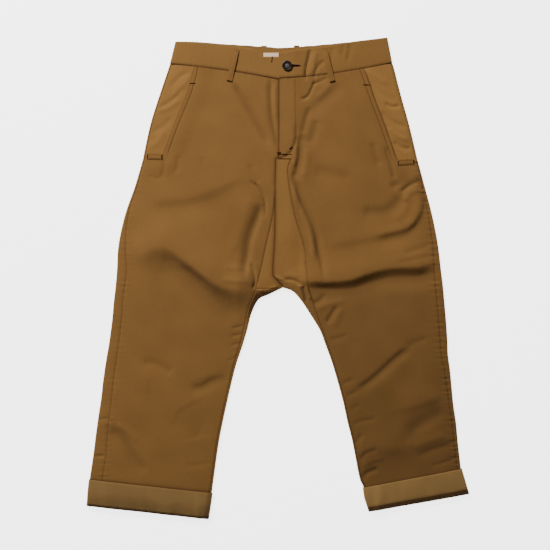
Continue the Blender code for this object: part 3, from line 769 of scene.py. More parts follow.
RIGHT = Side("right", -1, RIGHT_LEG, RIGHT_POCKET, RIGHT_BAND)
LEFT = Side("left", 1, LEFT_LEG, LEFT_POCKET, LEFT_BAND)
OVER_PATH = [(x - MIDDLE.x, y - MIDDLE.y) for x, y in OVER_EDGE]
FLY_STITCH_TURN = page(295, 120)[1]
FLY_STITCH_PIXELS = (
    (294.8, 80), (295, 112), (295.6, 126), (296, 136), (294.2, 144), (291, 151), (287, 155.5), (280, 158)
)
FLY_STITCH = [page(px, py) for px, py in FLY_STITCH_PIXELS]

_chance = np.random.default_rng(WAVE_SEED)
_wave_turn = _chance.uniform(0, 2 * math.pi, WAVES)
_wave_phase = _chance.uniform(0, 2 * math.pi, WAVES)
_wave_length = np.exp(_chance.uniform(math.log(WAVE_SHORTEST), math.log(WAVE_LONGEST), WAVES))


def loose_waves(x, y):
    """Slight unevenness of the cloth all over."""
    height = np.zeros(x.shape)
    for turn, phase, length in zip(_wave_turn, _wave_phase, _wave_length):
        ahead = (x * math.cos(turn) + y * math.sin(turn)) * 2 * math.pi / length + phase
        height += np.sin(ahead) * WAVE_HEIGHT * (length / WAVE_LONGEST) ** 0.5
    return height


def varied(sizes, along):
    """A size that changes evenly along a crease, from one number or several."""
    sizes = np.atleast_1d(sizes)
    return np.interp(along, np.linspace(0, 1, len(sizes)), sizes)


def crease_height(x, y, creases):
    """Sum of the creases at each point."""
    height = np.zeros(x.shape)
    for crease in creases:
        path = rounded_path(crease.points)
        reach = CREASE_REACH * max(np.max(crease.left), np.max(crease.right))
        xs = [point[0] for point in path]
        ys = [point[1] for point in path]
        near = (x > min(xs) - reach) & (x < max(xs) + reach) & (y > min(ys) - reach) & (y < max(ys) + reach)
        if not near.any():
            continue
        gap, side, along = line_field(x[near], y[near], path)
        width = blend(varied(crease.right, along), varied(crease.left, along), smooth(0.5 + 0.5 * side))
        ends = smooth(along / CREASE_END + CREASE_END_PART)
        ends = ends * smooth((1 - along) / CREASE_END + CREASE_END_PART)
        height[near] += varied(crease.height, along) * np.exp(-((gap / width) ** 2)) * ends
    return height


def top_height(side, x, y):
    """Height of the middle of the upper layer of cloth."""
    x = np.asarray(x, dtype=float)
    y = np.asarray(y, dtype=float)
    crown = 1.0
    calm = 1.0
    for path in (side.outer_path, side.inner_path):
        gap = line_field(x, y, path)[0]
        crown = crown * (1 - np.exp(-gap / CROWN_REACH))
        calm = calm * (EDGE_CALM + (1 - EDGE_CALM) * smooth(gap / EDGE_CALM_REACH))
    hem_x = float(side.edge_x(CUFF))
    hem_y = float(side.edge_y(CUFF))
    slope = (float(side.side_y(CUFF)) - hem_y) / (float(side.side_x(CUFF)) - hem_x)
    above_hem = smooth((y - (hem_y + (x - hem_x) * slope)) / HEM_CALM_REACH)
    below_waist = smooth((side.band[0].front_y - y + WAIST_CALM_REACH) / WAIST_CALM_REACH)
    strength = bpy.context.scene.trousers_sizes.fold_strength
    folds = strength * crease_height(x, y, TOP_CREASES) * above_hem * below_waist
    height = EDGE_HEIGHT + CROWN * crown + (folds + loose_waves(x, y)) * calm
    return LOWEST + np.logaddexp(0.0, (height - LOWEST) / SOFTEN) * SOFTEN


def over_raise(x, y, rise):
    """Extra height of the left side where it lies over the right."""
    gap = line_field(x, y, OVER_PATH)[0]
    return rise * (1 - eased(gap, RAISED_FLAT, RAISED_EASE))


def pocket_raise(side, x, y):
    """Extra height of the front along the pocket edge."""
    gap = line_field(x, y, side.pocket_path)[0]
    return POCKET_LAP * (1 - eased(gap, POCKET_FLAT, POCKET_EASE))


def front_height(side, x, y):
    """Height of the middle of the front panel."""
    height = top_height(side, x, y) + pocket_raise(side, x, y)
    if side is LEFT:
        height = height + over_raise(x, y, LAP)
    return height


def band_height(side, x, y):
    """Height of the middle of the upper layer of the waistband."""
    lower, upper = side.band
    gap = line_field(x, y, [(lower.side_x, lower.side_y), (upper.side_x, upper.side_y)])[0]
    height = BAND_EDGE_HEIGHT + BAND_CROWN * (1 - np.exp(-gap / CROWN_REACH))
    folds = crease_height(x, y, TOP_CREASES) + loose_waves(x, y)
    height = height + folds * BAND_CALM * smooth(gap / BAND_CALM_REACH)
    if side is LEFT:
        height = height + over_raise(x, y, BAND_LAP)
    return height


def floor_height(rows):
    """Height of the middle of the lower layer, lifted over the back loops and the cuff."""
    rows = np.asarray(rows, dtype=float)
    waist_lift = LAP * (1 - eased(rows, LOOP_LIFT_END, LOOP_LIFT_ROWS))
    cuff_lift = LAP * smooth(rows - CUFF + 1)
    return FLOOR_LAYER + np.maximum(waist_lift, cuff_lift)


def fine_rows(side, first, last, cell=CELL):
    """Row numbers close enough for cells of about the given size."""
    rows = [float(first)]
    for row in range(int(first), int(math.ceil(last))):
        end = min(row + 1, last)
        start = max(row, first)
        length = max(
            math.hypot(side.side_x(end) - side.side_x(start), side.side_y(end) - side.side_y(start)),
            math.hypot(side.seam_x(end) - side.seam_x(start), side.seam_y(end) - side.seam_y(start)),
        )
        steps = max(1, int(math.ceil(length / cell)))
        rows.extend(start + (end - start) * (step + 1) / steps for step in range(steps))
    return np.array(rows)


def parts_across(length, cell=CELL):
    """Parts of each row from 0 to 1, closer together near both ends."""
    length = np.asarray(length, dtype=float)
    offsets = np.array(EDGE_OFFSETS)
    middle = max(4, int((length.max() - 2 * offsets[-1]) / cell))
    columns = []
    for offset in offsets:
        columns.append(offset / length)
    start = offsets[-1] / length
    for step in range(1, middle):
        columns.append(blend(start, 1 - start, step / middle))
    for offset in offsets[::-1]:
        columns.append(1 - offset / length)
    return np.stack(columns, axis=1)


def uneven(places, seam, longest=13.0, shortest=6.0):
    """Uneven ripple along a seam, about -1 to 1."""
    chance = np.random.default_rng(SEEDS[seam])
    total = np.zeros(np.shape(places))
    for length in np.linspace(shortest, longest, RIPPLES):
        total += np.sin(places * 2 * math.pi / length + chance.uniform(0, RIPPLE_PHASE))
    return total / RIPPLE_SCALE


def seam_relief(gap, along, seam, dip=0.55, reach=1.7, pucker=0.16, spread=5.0):
    """The groove of a seam and the small puckers across it."""
    groove = -dip * np.exp(-((gap / reach) ** 2))
    return groove + uneven(along, seam) * pucker * np.exp(-gap / spread)


def rolled_edge(gap, drop=0.5, reach=0.9):
    """A folded edge, rounded down."""
    return -drop * np.exp(-((gap / reach) ** 2))


class Value:
    """A socket whose arithmetic adds Math nodes."""

    def __init__(self, finish, socket):
        self.finish = finish
        self.socket = socket

    def joined(self, operation, *inputs):
        """The result of a Math node."""
        sockets = {index: value for index, value in enumerate(inputs)}
        return self.finish.node("ShaderNodeMath", {"operation": operation}, sockets).out(0)

    def __add__(self, other):
        return self.joined("ADD", self, other)

    def __radd__(self, other):
        return self.joined("ADD", other, self)

    def __sub__(self, other):
        return self.joined("SUBTRACT", self, other)

    def __rsub__(self, other):
        return self.joined("SUBTRACT", other, self)

    def __mul__(self, other):
        return self.joined("MULTIPLY", self, other)

    def __rmul__(self, other):
        return self.joined("MULTIPLY", other, self)

    def __truediv__(self, other):
        return self.joined("DIVIDE", self, other)

    def sine(self):
        return self.joined("SINE", self)

    def size(self):
        return self.joined("ABSOLUTE", self)

    def clamped(self):
        return self.finish.node("ShaderNodeClamp", {}, {"Value": self}).out(0)


class Node:
    """A node whose outputs are read as values."""

    def __init__(self, finish, node):
        self.finish = finish
        self.node = node

    def out(self, key):
        return Value(self.finish, self.node.outputs[key])


class Finish:
    """A material made of nodes round one Principled shader."""

    def __init__(self, name, roughness, **constants):
        self.material = bpy.data.materials.new(name)
        self.material.use_nodes = True
        self.tree = self.material.node_tree
        self.shader = self.tree.nodes["Principled BSDF"]
        self.shader.inputs["Roughness"].default_value = roughness
        for key, value in constants.items():
            self.shader.inputs[key.replace("_", " ")].default_value = value

    def node(self, kind, settings, sockets):
        """A node with its settings, then the values or links of its sockets."""
        node = self.tree.nodes.new(kind)
        for key, value in settings.items():
            if key == "stops":
                ramp = node.color_ramp
                while len(ramp.elements) > len(value):
                    ramp.elements.remove(ramp.elements[-1])
                while len(ramp.elements) < len(value):
                    ramp.elements.new(1.0)
                for element, (place, colour) in zip(ramp.elements, value):
                    element.position = place
                    element.color = colour
            else:
                setattr(node, key, value)
        for key, value in sockets.items():
            if isinstance(value, Value):
                self.tree.links.new(value.socket, node.inputs[key])
            elif value is not None:
                node.inputs[key].default_value = value
        return Node(self, node)

    def mixed(self, factor, first, second, kind="MIX"):
        """Mix of two colours."""
        settings = {"data_type": "RGBA", "blend_type": kind}
        return self.node("ShaderNodeMix", settings, {0: factor, 6: first, 7: second}).out(2)

    def noise(self, vector, scale, detail=2.0, roughness=0.5):
        """Noise of the given scale along a vector."""
        sockets = {"Vector": vector, "Scale": scale, "Detail": detail, "Roughness": roughness}
        return self.node("ShaderNodeTexNoise", {}, sockets).out(0)

    def bump(self, strength, distance, height):
        """Relief of the surface from a height."""
        sockets = {"Strength": strength, "Distance": distance, "Height": height}
        self.feed("Normal", self.node("ShaderNodeBump", {}, sockets).out(0))

    def feed(self, key, value):
        """Link a value to a socket of the shader."""
        self.tree.links.new(value.socket, self.shader.inputs[key])


def linear(red, green, blue):
    """Linear colour from the 0 to 255 values seen on a screen."""
    shown = [channel / 255 for channel in (red, green, blue)]
    return tuple(((c + 0.055) / 1.055) ** 2.4 if c > 0.04045 else c / 12.92 for c in shown) + (1.0,)


def twill_finish(name, light, dark, seam, weave_height):
    """Cotton twill: fine diagonal ribs, slubs, uneven dye, darker seams, and painted light and shade from
    its tone and groove attributes.
    """
    finish = Finish(name, 0.92, Sheen_Weight=0.06, Sheen_Roughness=0.6, Specular_IOR_Level=0.2)
    flat = finish.node("ShaderNodeUVMap", {"uv_map": "cloth"}, {}).out(0)
    parts = finish.node("ShaderNodeSeparateXYZ", {}, {0: flat})
    across = parts.out(0)
    along = parts.out(1)
    ribs = ((across * 0.8 + along * 0.6) * (2 * math.pi / RIB_PITCH)).sine()
    thread = (along * (2 * math.pi / THREAD_PITCH)).sine()
    slub = finish.noise(flat, SLUB_SCALE, 3.0, 0.6)
    stretched = finish.node("ShaderNodeMapping", {}, {0: flat, 3: WARP_SCALE}).out(0)
    warp = finish.noise(stretched, 1.0, 2.0, 0.5)
    cloud = finish.noise(flat, CLOUD_SCALE, 3.0, 0.55)
    fleck = finish.noise(flat, FLECK_SCALE, 2.0, 0.6)
    tone = finish.node("ShaderNodeAttribute", {"attribute_name": "tone"}, {}).out(2)
    groove = finish.node("ShaderNodeAttribute", {"attribute_name": "groove"}, {}).out(2)
    dye = (cloud * 0.9 + fleck * 0.35 + warp * 0.25 + ribs * 0.05 - 0.25).clamped()
    colour = finish.mixed(dye, dark, light)
    # The groove attribute holds the seams' dark lines and painted shade along edges, cuffs, loops and the
    # crotch
    colour = finish.mixed((groove * 0.9).clamped(), colour, seam)
    # The tone attribute holds wear and dye with painted light falloff, painted light and painted shade
    shade = finish.node("ShaderNodeCombineColor", {}, {0: tone, 1: tone, 2: tone}).out(0)
    finish.feed("Base Color", finish.mixed(1.0, colour, shade, "MULTIPLY"))
    finish.bump(0.55, weave_height, ribs * 0.5 + thread * 0.2 + slub * 1.3 + warp * 0.5)
    return finish.material


def thread_finish(name, colour):
    """Sewing thread with a fine twist."""
    finish = Finish(name, 0.85, Specular_IOR_Level=0.12)
    place = finish.node("ShaderNodeTexCoord", {}, {}).out("Object")
    grain = finish.noise(place, THREAD_GRAIN_SCALE, 2.0, 0.6)
    darker = tuple(channel * 0.6 for channel in colour[:3]) + (1.0,)
    finish.feed("Base Color", finish.mixed(grain, darker, colour))
    finish.bump(0.4, 0.0001, grain)
    return finish.material


def button_finish(name, middle):
    """Dark horn-like plastic with fine streaks and a painted highlight ring."""
    finish = Finish(name, 0.32, Specular_IOR_Level=0.5)
    place = finish.node("ShaderNodeTexCoord", {}, {}).out("Object")
    streak = finish.node("ShaderNodeMapping", {}, {0: place, 3: STREAK_SCALE}).out(0)
    grain = finish.noise(streak, 1.0, 4.0, 0.65)
    stops = [(0.35, linear(22, 15, 12)), (0.6, linear(42, 30, 24)), (0.8, linear(92, 76, 66))]
    horn = finish.node("ShaderNodeValToRGB", {"stops": stops}, {0: grain}).out(0)
    reach = finish.node("ShaderNodeVectorMath", {"operation": "DISTANCE"}, {0: place, 1: middle}).out(1)
    # Painted highlight: a pale ring on the button's face
    ring = ((1 - (reach - HIGHLIGHT_RING_RADIUS).size() / HIGHLIGHT_RING_WIDTH) * 0.75).clamped()
    finish.feed("Base Color", finish.mixed(ring, horn, linear(128, 118, 118)))
    finish.feed("Roughness", grain * 0.2 + 0.24)
    return finish.material


def label_finish(name):
    """Plain pale woven tape."""
    finish = Finish(name, 0.85, Sheen_Weight=0.1)
    place = finish.node("ShaderNodeTexCoord", {}, {}).out("Object")
    parts = finish.node("ShaderNodeSeparateXYZ", {}, {0: place})
    weft = (parts.out(1) * (2 * math.pi / LABEL_WEFT_PITCH)).sine()
    grain = finish.noise(place, LABEL_GRAIN_SCALE, 2.0, 0.6)
    finish.feed("Base Color", finish.mixed(grain, linear(240, 206, 162), linear(252, 230, 198)))
    finish.bump(0.4, 0.00008, weft + grain)
    return finish.material


# Each twill by its colour settings, the colour of its seams' lines and painted shade, and its weave height
TWILLS = {
    "twill": ("twill", linear(54, 21, 1), WEAVE_HEIGHT),
    "facing_twill": ("facing", linear(56, 23, 2), WEAVE_HEIGHT),
    "cuff_twill": ("cuff", linear(50, 26, 6), CUFF_WEAVE_HEIGHT),
}

THREADS = {
    "thread": linear(98, 58, 18),
    "dark_thread": linear(62, 30, 6),
    "hole_thread": linear(40, 15, 4),
    "pale_thread": linear(150, 142, 140),
}

_materials = {}


def material(name):
    """A material by name, made once from the settings in the scene."""
    if name in _materials:
        return _materials[name]
    if name in TWILLS:
        key, seam, weave_height = TWILLS[name]
        colours = bpy.context.scene.trousers_cloth
        light = (*getattr(colours, key + "_light"), 1)
        dark = (*getattr(colours, key + "_dark"), 1)
        made = twill_finish(name, light, dark, seam, weave_height)
    elif name in THREADS:
        made = thread_finish(name, THREADS[name])
    elif name == "label":
        made = label_finish("label_tape")
    else:
        made = button_finish("button_horn", button_middle())
    _materials[name] = made
    return made


def new_mesh_object(name, places, faces):
    """An object at the origin from places in millimetres."""
    mesh = bpy.data.meshes.new(name)
    mesh.from_pydata([], [], [])
    mesh.vertices.add(len(places))
    mesh.vertices.foreach_set("co", (places * MM).astype(np.float32).ravel())
    faces = np.asarray(faces, dtype=np.int32)
    corners = faces.shape[1]
    mesh.loops.add(faces.size)
    mesh.loops.foreach_set("vertex_index", faces.ravel())
    mesh.polygons.add(len(faces))
    mesh.polygons.foreach_set("loop_start", np.arange(0, faces.size, corners, dtype=np.int32))
    mesh.update(calc_edges=True)
    mesh.validate()
    piece = bpy.data.objects.new(name, mesh)
    bpy.context.scene.collection.objects.link(piece)
    return piece


def set_attribute(mesh, name, values):
    """A number on each point of a mesh."""
    layer = mesh.attributes.new(name, "FLOAT", "POINT")
    layer.data.foreach_set("value", np.asarray(values, dtype=np.float32).ravel())


class Cloth:
    """Grids of points of one piece of cloth, with the dark lines of its seams and its painted shade."""

    def __init__(self):
        self.grids = []

    def add(self, x, y, z, groove=0.0, closed=False, planar=False):
        """One grid; a closed one is a tube, and a planar one's pattern is laid by X and Y."""
        groove = np.clip(groove + np.zeros(np.shape(x)), 0, 1)
        self.grids.append((np.stack([x, y, z], axis=-1), groove, closed, planar))

    def cut_size(self):
        """Width, length and area of the flat cut, in metres."""
        width = 0.0
        length = 0.0
        area = 0.0
        for points, _, closed, _ in self.grids:
            if closed:
                points = np.concatenate([points, points[:, :1]], axis=1)
            across = np.linalg.norm(np.diff(points, axis=1), axis=2)
            along = np.linalg.norm(np.diff(points, axis=0), axis=2)
            width = max(width, across.sum(axis=1).max())
            length = max(length, along.sum(axis=0).max())
            area += (across[:-1] * along[:, :-1]).sum()
        area = min(area * MM * MM, width * length * MM * MM)
        return width * MM, length * MM, area

    def build(self, name, finish, nodes, thickness=None, tone=1.0):
        """The closed shell of the cloth."""
        places = []
        faces = []
        flat = []
        grooves = []
        start = 0
        for points, groove, closed, planar in self.grids:
            rows, columns = points.shape[:2]
            index = np.arange(rows * columns).reshape(rows, columns) + start
            if closed:
                index = np.concatenate([index, index[:, :1]], axis=1)
            quads = np.stack([index[:-1, :-1], index[:-1, 1:], index[1:, 1:], index[1:, :-1]], axis=-1)
            faces.append(quads.reshape(-1, 4))
            across = np.zeros((rows, columns))
            across[:, 1:] = np.cumsum(np.linalg.norm(np.diff(points, axis=1), axis=2), axis=1)
            across -= across[:, columns // 2 : columns // 2 + 1]
            along = np.zeros(rows)
            middle = points[:, columns // 2]
            along[1:] = np.cumsum(np.linalg.norm(np.diff(middle, axis=0), axis=1))
            laid = points[..., :2] if planar else np.stack([across, along[:, None] + 0 * across], axis=-1)
            flat.append(laid.reshape(-1, 2))
            places.append(points.reshape(-1, 3))
            grooves.append(np.asarray(groove).reshape(-1))
            start += rows * columns
        places = np.concatenate(places)
        faces = np.concatenate(faces)
        flat = np.concatenate(flat)
        piece = new_mesh_object(name, places, faces)
        mesh = piece.data
        layer = mesh.uv_layers.new(name="cloth")
        corners = np.zeros(len(mesh.loops), dtype=np.int32)
        mesh.loops.foreach_get("vertex_index", corners)
        layer.data.foreach_set("uv", (flat[corners] * MM).astype(np.float32).ravel())
        set_attribute(mesh, "groove", np.concatenate(grooves))
        set_attribute(mesh, "tone", page_tone(places[:, 0], places[:, 1], name) * tone)
        mesh.materials.append(material(finish))
        finish_shell(piece, thickness or size_of("cloth"))
        width, length, area = self.cut_size()
        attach(piece, "root")
        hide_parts(*nodes)


def page_tone(x, y, name):
    """Tone at each point of a piece: wear and dye mixed with painted light falloff, painted light on the
    gusset and painted shade in its hollows.
    """
    if name in CUFF_TONE:
        return np.full(x.shape, CUFF_TONE[name])
    # Painted light falloff mixed with wear and dye: darker down the left leg and on the left hip, paler
    # down the right leg
    left_leg = eased(x, *LEFT_OF_CROTCH) * eased(-y, *BELOW_CROTCH)
    tone = 1.0 - LEFT_LEG_DEEPER * left_leg - LEFT_FOOT_DEEPER * left_leg * eased(-y, *DOWN_LEFT_LEG)
    tone = tone + RIGHT_LEG_PALER * (1 - left_leg) * eased(-y, *DOWN_RIGHT_LEG)
    tone = tone - LEFT_HIP_DEEPER * eased(y, *UP_LEFT_HIP) * eased(x, *OUT_LEFT_HIP)
    # Painted light: the gusset's cloth is painted lighter
    if name.startswith("gusset"):
        return tone * GUSSET_PAINTED_LIGHT
    if name == "facing_cloth_left":
        tone = tone * LEFT_FACING_TONE
    # Painted shade: darker where the creases sink
    hollow = np.maximum(0.0, -crease_height(x, y, TOP_CREASES))
    return tone * np.maximum(DARKEST_HOLLOW, 1 - HOLLOW_SHADE * hollow)


def turn_faces(piece, welded):
    """Make a piece the active one and turn its faces outwards, its doubles welded first if asked."""
    bpy.ops.object.select_all(action="DESELECT")
    piece.select_set(True)
    bpy.context.view_layer.objects.active = piece
    bpy.ops.object.mode_set(mode="EDIT")
    bpy.ops.mesh.select_all(action="SELECT")
    if welded:
        bpy.ops.mesh.remove_doubles(threshold=WELD)
    bpy.ops.mesh.normals_make_consistent(inside=False)
    bpy.ops.object.mode_set(mode="OBJECT")


def finish_shell(piece, thickness):
    """Weld the sheet, turn its normals and give it its wall."""
    turn_faces(piece, True)
    shell = piece.modifiers.new("Wall", "SOLIDIFY")
    shell.thickness = thickness * MM
    shell.offset = 0.0
    bpy.ops.object.modifier_apply(modifier=shell.name)
    bpy.ops.object.shade_smooth_by_angle(angle=SHARP_ANGLE)
    piece.select_set(False)


def front_grid(side, start_x, end_x, rows, height=None):
    """Points between two values of X on the rows of the front."""
    height = height or (lambda a, b: front_height(side, a, b))
    _, start_y = side.front_point(rows, start_x)
    _, end_y = side.front_point(rows, end_x)
    length = np.hypot(end_x - start_x, end_y - start_y)
    part = parts_across(length)
    x = blend(start_x[:, None], end_x[:, None], part)
    y = np.stack([side.front_point(rows, x[:, column])[1] for column in range(x.shape[1])], axis=1)
    return x, y, height(x, y), part * length[:, None], (1 - part) * length[:, None]


def build_front(side):
    """Front panel, from the fly, gusset and inseam out to the pocket edge and the side seam."""
    rows = fine_rows(side, WAIST, HEM)
    seam_x = side.seam_x(rows)
    if side is RIGHT:
        seamed = smooth((rows - GUSSET_RIGHT_TOP + ROW_EASE) / ROW_EASE)
        start_x = seam_x + UNDERLAP * (1 - seamed) - SEAM / 2
    else:
        seamed = smooth((rows - POCKET_END) / FLY_FOOT_EASE)
        start_x = seam_x + SEAM / 2
    end_x = side.side_seam(rows)[0] - side.sign * SEAM / 2
    last = np.argmin(np.abs(rows - POCKET_END))
    share = (float(side.pocket(POCKET_END)) - start_x[last]) / (end_x[last] - start_x[last])
    pocket_x = side.pocket(np.minimum(rows, POCKET_END))
    split_x = np.where(rows <= POCKET_END, pocket_x, blend(start_x, end_x, share))
    cloth = Cloth()
    x, y, z, from_start, from_end = front_grid(side, start_x, split_x, rows)
    seamed = seamed[:, None]
    slanted = smooth((POCKET_END - rows) / ROW_EASE)[:, None]
    stitched = np.exp(-(((from_end - STITCH_GAP) / STITCH_DENT_WIDTH) ** 2)) * slanted
    waist_gap = rows_gap(rows, side)
    z += seam_relief(from_start, y, "inseam") * seamed
    z += rolled_edge(from_start, FLY_EDGE[side.name]) * (1 - seamed)
    z += rolled_edge(from_end) * slanted - stitched * STITCH_DENT
    z += seam_relief(waist_gap, x, "waist", pucker=WAIST_PUCKER)
    groove = line_of(from_start, SEAM_LINE) * seamed
    # Painted shade along the fly's folded edge
    groove += line_of(from_start, FLY_EDGE_SHADE[side.name]) * (1 - seamed)
    groove += line_of(from_end, POCKET_LINE) * slanted + stitched * POCKET_STITCH_LINE * slanted
    groove += line_of(waist_gap, WAIST_LINE) + cuff_top_shadow(side, rows)
    if side is RIGHT:
        over_gap = line_field(x, y, OVER_PATH)[0]
        # Painted shadow on the right front beside the left one's edge over it
        groove += line_of(over_gap, OVER_SHADOW, OVER_SHADOW_WIDTH) * (rows < GUSSET_RIGHT_TOP)[:, None]
    else:
        lower_part = blend(FLY_STITCH_FAINT, 1.0, smooth((FLY_STITCH_TURN - y) / FLY_STITCH_EASE))
        stitch_gap = line_field(x, y, FLY_STITCH)[0]
        groove += line_of(stitch_gap, FLY_STITCH_LINE, FLY_STITCH_WIDTH) * lower_part
    cloth.add(x, y, z, groove, planar=True)
    low = rows >= POCKET_END
    x, y, z, _, from_end = front_grid(side, split_x[low], end_x[low], rows[low])
    z += seam_relief(from_end, y, "side", pucker=SIDE_PUCKER[side.name], spread=SIDE_PUCKER_REACH)
    cloth.add(x, y, z, line_of(from_end, SIDE_LINE) + cuff_top_shadow(side, rows[low]), planar=True)
    cloth.build("front_cloth_" + side.name, "twill", ["front_" + side.name])


def line_of(gap, darkness, width=1.1):
    """Dark line of a seam, or painted shade along an edge."""
    return darkness * np.exp(-gap / width)


def cuff_top_shadow(side, rows):
    """Painted shadow on the leg along the top edge of its cuff."""
    steps = (CUFF + CUFF_START - rows) * CUFF_ROW_LENGTH
    return (CUFF_TOP_SHADOW[side.name] * np.exp(-np.abs(steps) / CUFF_TOP_SHADOW_WIDTH))[:, None]


def rows_gap(rows, side):
    """Distance of each row from the waist seam, as a column."""
    below = side.side_y(np.array([WAIST]))[0] - side.side_y(rows)
    return np.maximum(0.0, below)[:, None]


# The facing ends at this row, and its creases fade over this distance from the side seam
FACING_END = POCKET_END + 0.6
FACING_CALM_REACH = 5.0


def build_facing(side):
    """Hip facing beside the slanted pocket edge, run on a little below the end of the pocket."""
    rows = fine_rows(side, WAIST, FACING_END)
    start_x = side.pocket(np.minimum(rows, POCKET_END)) - side.sign * UNDERLAP
    end_x = side.side_seam(rows)[0] - side.sign * SEAM / 2
    x, y, z, _, from_end = front_grid(side, start_x, end_x, rows, lambda a, b: top_height(side, a, b))
    waist_gap = rows_gap(rows, side)
    z += seam_relief(from_end, y, "facing_side", dip=FACING_SIDE_DIP)
    z += crease_height(x, y, FACING_CREASES) * smooth(from_end / FACING_CALM_REACH)
    z += seam_relief(waist_gap, x, "facing_waist", pucker=FACING_WAIST_PUCKER)
    cloth = Cloth()
    cloth.add(x, y, z, line_of(from_end, FACING_SIDE_LINE) + line_of(waist_gap, WAIST_LINE), planar=True)
    nodes = ["hip_facing_" + side.name]
    cloth.build("facing_cloth_" + side.name, "facing_twill", nodes)


def turned_edge(outer_x, outer_y, in_x, in_y, low, high):
    """Half circles from the lower layer round the edge to the upper layer, one for each row."""
    radius = (high - low) / 2
    angle = np.linspace(0, math.pi, TURN_STEPS + 1)[None, :]
    inset = radius[:, None] * (1 - np.sin(angle))
    x = outer_x[:, None] + in_x[:, None] * inset
    y = outer_y[:, None] + in_y[:, None] * inset
    z = low[:, None] + radius[:, None] * (1 - np.cos(angle))
    return x, y, z


def joined(*grids):
    """X, y and z of grids of points side by side, each starting where the one before it ends."""
    columns = []
    for axis in range(3):
        parts = [grid[axis][:, min(index, 1) :] for index, grid in enumerate(grids)]
        columns.append(np.concatenate(parts, axis=1))
    return columns


def straight(start, end, parts):
    """Points between two columns of values at the given parts."""
    return blend(start[:, None], end[:, None], np.asarray(parts)[None, :])


# Parts across the strips of the back that lie on the front, outside and inside, and across the floor
STRIP_PARTS = np.array([0.0, 0.12, 0.28, 0.46, 0.64, 0.8, 0.91, 0.97, 1.0])
INNER_PARTS = np.concatenate([np.linspace(0, 0.82, 14), [0.87, 0.91, 0.945, 0.975, 1.0]])
FLAT_PARTS = np.linspace(0, 1, 61)

# The back's creases fade toward both ends of a row over this part of it
FLAT_EASE = 0.125

# The shade inside the crotch, in rows below it: where it starts and ends, and how fast
SHADE_START = (0.35, 0.5)
SHADE_END = (2.4, 1.6)

# How far that shade keeps from the seam, and over how far it comes in
SHADE_GAP = (2.0, 3.0)

# The inner strip's edge lies this much lower at the crotch, easing up to the seam over part of a row
CROTCH_TUCK = 0.4
CROTCH_TUCK_ROWS = 0.25


